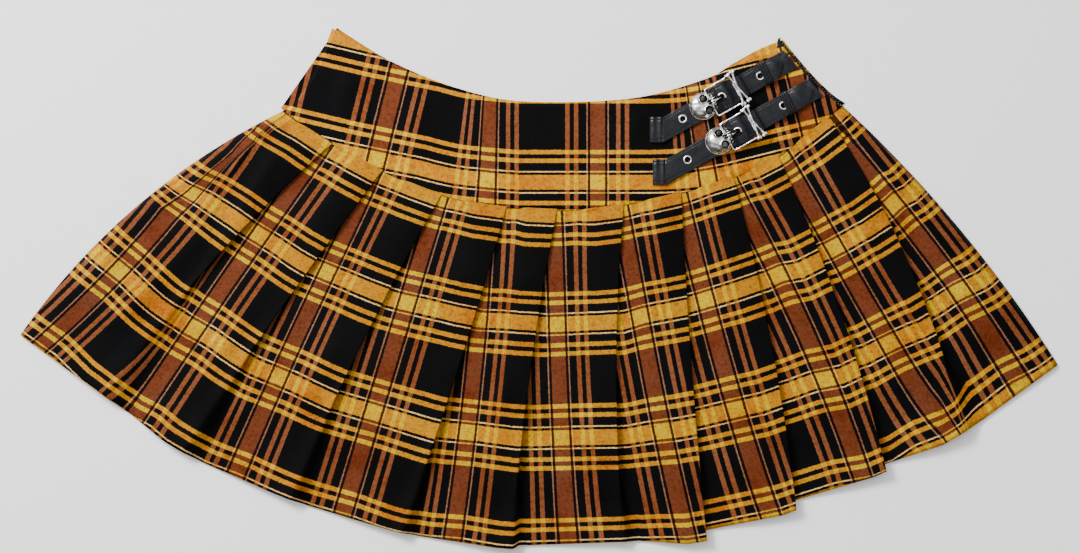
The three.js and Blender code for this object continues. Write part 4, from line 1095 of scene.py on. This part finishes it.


# Eyelets.
# Pressed nickel rings, closed beneath by a black disc that stands for the strap's black lining and the shade in the
# hole. Their inner walls and outer edges are painted in shade. The middle one bends with the strap over the bar,
# and painted shade darkens most of it.
ring_metal = bright_metal("eyelet_metal", (0.86, 0.86, 0.86), 0.2)
RING = [(0.02, -0.9), (1.7, -0.9), (2.15, -0.75), (2.25, -0.1), (2.35, 0.35), (2.6, 0.6)]
RING += [(2.95, 0.66), (3.25, 0.5), (3.45, 0.2), (3.55, -0.05), (3.7, -0.2)]
# Darkness of each ring from the middle out: the black disc for the lining and the shade in the hole, then painted
# shade on the inner wall and the outer edge.
RING_SHADE_AND_BLACK = [1, 1, 1, 0.5, 0.1, 0, 0, 0, 0.15, 0.6, 1]
RING_TURNS = np.linspace(0, 2 * math.pi, 40, endpoint=False)
for name, strap in STRAPS.items():
    path = strap["path"]
    run = run_along(path)
    for i, a in enumerate(strap["holes"]):
        middle = np.interp(a, path[:, 0], run)
        places = []
        for turn in RING_TURNS:
            for radius, rise in RING:
                b, at = radius * math.sin(turn), middle + radius * math.cos(turn)
                here, near = [np.array([np.interp(s, run, path[:, k]) for k in (0, 1)]) for s in (at, at + 0.3)]
                tangent = unit(near - here)
                spot = here + (rise + LEATHER / 2 + 0.42) * np.array([-tangent[1], tangent[0]])
                places.append((spot[0], b, spot[1] + strap_relief(strap, spot[0], b)))
        faces = grid_faces(len(RING_TURNS), len(RING), True)
        piece = strap_piece(f"eyelet_{name}_{i + 1}", "ring", strap, places, faces, ring_metal)
        turns = np.repeat(RING_TURNS, len(RING))
        # Painted shade over most of the middle eyelet.
        shaded = 0.8 * (1 - smooth(np.cos(turns - 0.7), -0.1, 0.5)) if i == 1 else 0
        set_black_and_shade(piece, np.maximum(np.tile(RING_SHADE_AND_BLACK, len(RING_TURNS)), shaded))
        shell(piece, 0.15, -1)


# Prongs.
# A bent nickel wire, thinner where it is looped round the bar. It comes up through the slot and the eyelet, and
# its tip rests on the skull's jaw. It is tarnished.
TARNISH = 0.42
for name, strap in STRAPS.items():
    curl = [(x, 0, z) for x, z in round_bar(1.35, range(40, -181, -20))]
    reach = [(-1.6, 0, 4.2), (-1.9, 0, 6.4), (-2.4, 0, 8.1), (-4.2, 0, 8.7), (-6.6, 0, 8.3), (-9.4, 0, 7.6)]
    wire = along_path(curl + reach, 60)
    radii = np.interp(np.linspace(0, 1, 60), [0, 0.5, 0.9, 1], [0.5, 0.75, 0.65, 0.45])
    vertices, faces = swept_tube(wire, radii, 12)
    prong = strap_piece(f"prong_{name}", "wire", strap, vertices, faces, buckle_metal)
    set_black_and_shade(prong, [TARNISH] * len(vertices))


# Side zip.
# A black moulded zip, closed, sewn in between the front and back yoke at the right side: a woven tape with
# its teeth just outside the seam, and a topstitch along the front yoke's edge.
def zip_line(part):
    """The side seam from the waist down."""
    return pulled(*np.array([WAIST_FRONT[-1], FRONT_SIDES[1], YOKE_SEAM[-1]]), part)


def tape_finish():
    """Black woven tape, ribbed across."""
    material, tree, shader, place = new_material("zip_tape")
    ribs = slanted_waves(tree, place, 520.0, 0.6)
    stops = [(0.2, (0.003, 0.003, 0.0035)), (0.8, (0.014, 0.014, 0.016))]
    feed(tree, shader, {"Base Color": ramp(tree, ribs, stops), "Normal": relief(tree, ribs, 0.5, 0.0002),
                        "Roughness": 0.8, "Specular IOR Level": 0.2})
    return material


zip_black = leather_finish("zip_teeth", (0.006, 0.006, 0.007), 0.3)
rows, teeth_line = [], []
for part in np.linspace(-0.07, 0.9, 50):
    here = zip_line(part)
    along = unit(zip_line(part + 0.01) - zip_line(part - 0.01))
    outward = np.array([-along[1], along[0]])
    tuck = smooth(part, -0.07, 0.02)
    rows.append([(*(here + outward * d), 2.2 + 0.05 * math.sin(part * 60 + d))
                 for d in np.linspace(-8 * tuck - 0.5, 1.6, 9)])
    teeth_line.append((*(here + outward * 1.5), 2.3))
grid = np.array(rows)
faces = grid_faces(*grid.shape[:2])
tape = make_piece("side_zip_woven_tape", grid, faces, tape_finish(), ["side_zip_tape"])
thick(tape, 0.7, 0.15)
teeth = repeat_tree("zip_teeth", False)
repeated("side_zip_teeth", teeth, [teeth_line], (2.6, 1.5, 2.7, 1.7), zip_black)
pale_thread = thread_finish("pale_thread", (0.5, 0.42, 0.26))
repeated("side_seam_stitches", stitches, [yoke_side], (2.6, 2.2, 0.55, 0.4), pale_thread)


# Floor, light and camera.
# A pale studio floor under soft light, seen from straight above.
def area_light(name, place, size, power, aim=(0, 0, 0)):
    light = bpy.data.lights.new(name, "AREA")
    light.shape, light.size, light.energy = "SQUARE", size, power
    lamp = new_object(name, light)
    lamp.location = place
    lamp.rotation_euler = (Vector(aim) - Vector(place)).to_track_quat("-Z", "Y").to_euler()


floor_mesh = bpy.data.meshes.new("floor")
floor_mesh.from_pydata([(-6, -6, 0), (6, -6, 0), (6, 6, 0), (-6, 6, 0)], [], [(0, 1, 2, 3)])
floor = new_object("floor", floor_mesh)
floor_finish, tree, shader, _ = new_material("floor")
feed(tree, shader, {"Base Color": (0.94, 0.94, 0.94, 1), "Roughness": 0.9})
floor_mesh.materials.append(floor_finish)
area_light("key", (-1.25, 1.2, 1.4), 0.7, 84)
area_light("fill", (1.4, -0.8, 2.0), 2.0, 14)
world = bpy.data.worlds.new("studio")
world.use_nodes = True
tree = world.node_tree
SKY = [(0.0, 0.04), (0.3, 0.09), (0.6, 0.36), (0.78, 0.85), (0.88, 1.25), (1.0, 1.85)]
BRIGHT_SIDE = (-0.4, 0.45, 0.798)  # of the ceiling, and the walls away from it are darker
direction = add(tree, "ShaderNodeTexCoord").outputs["Generated"]
facing = add(tree, "ShaderNodeVectorMath", {0: direction, 1: BRIGHT_SIDE}, operation="DOT_PRODUCT").outputs["Value"]
feed(tree, tree.nodes["Background"], {"Color": ramp(tree, facing, SKY), "Strength": 1.4})
bpy.context.scene.world = world

camera_lens = bpy.data.cameras.new("camera")
camera_lens.lens = 85
camera = new_object("camera", camera_lens)
camera.location = (0.0007, 0.0093, 2.048)
bpy.context.scene.camera = camera
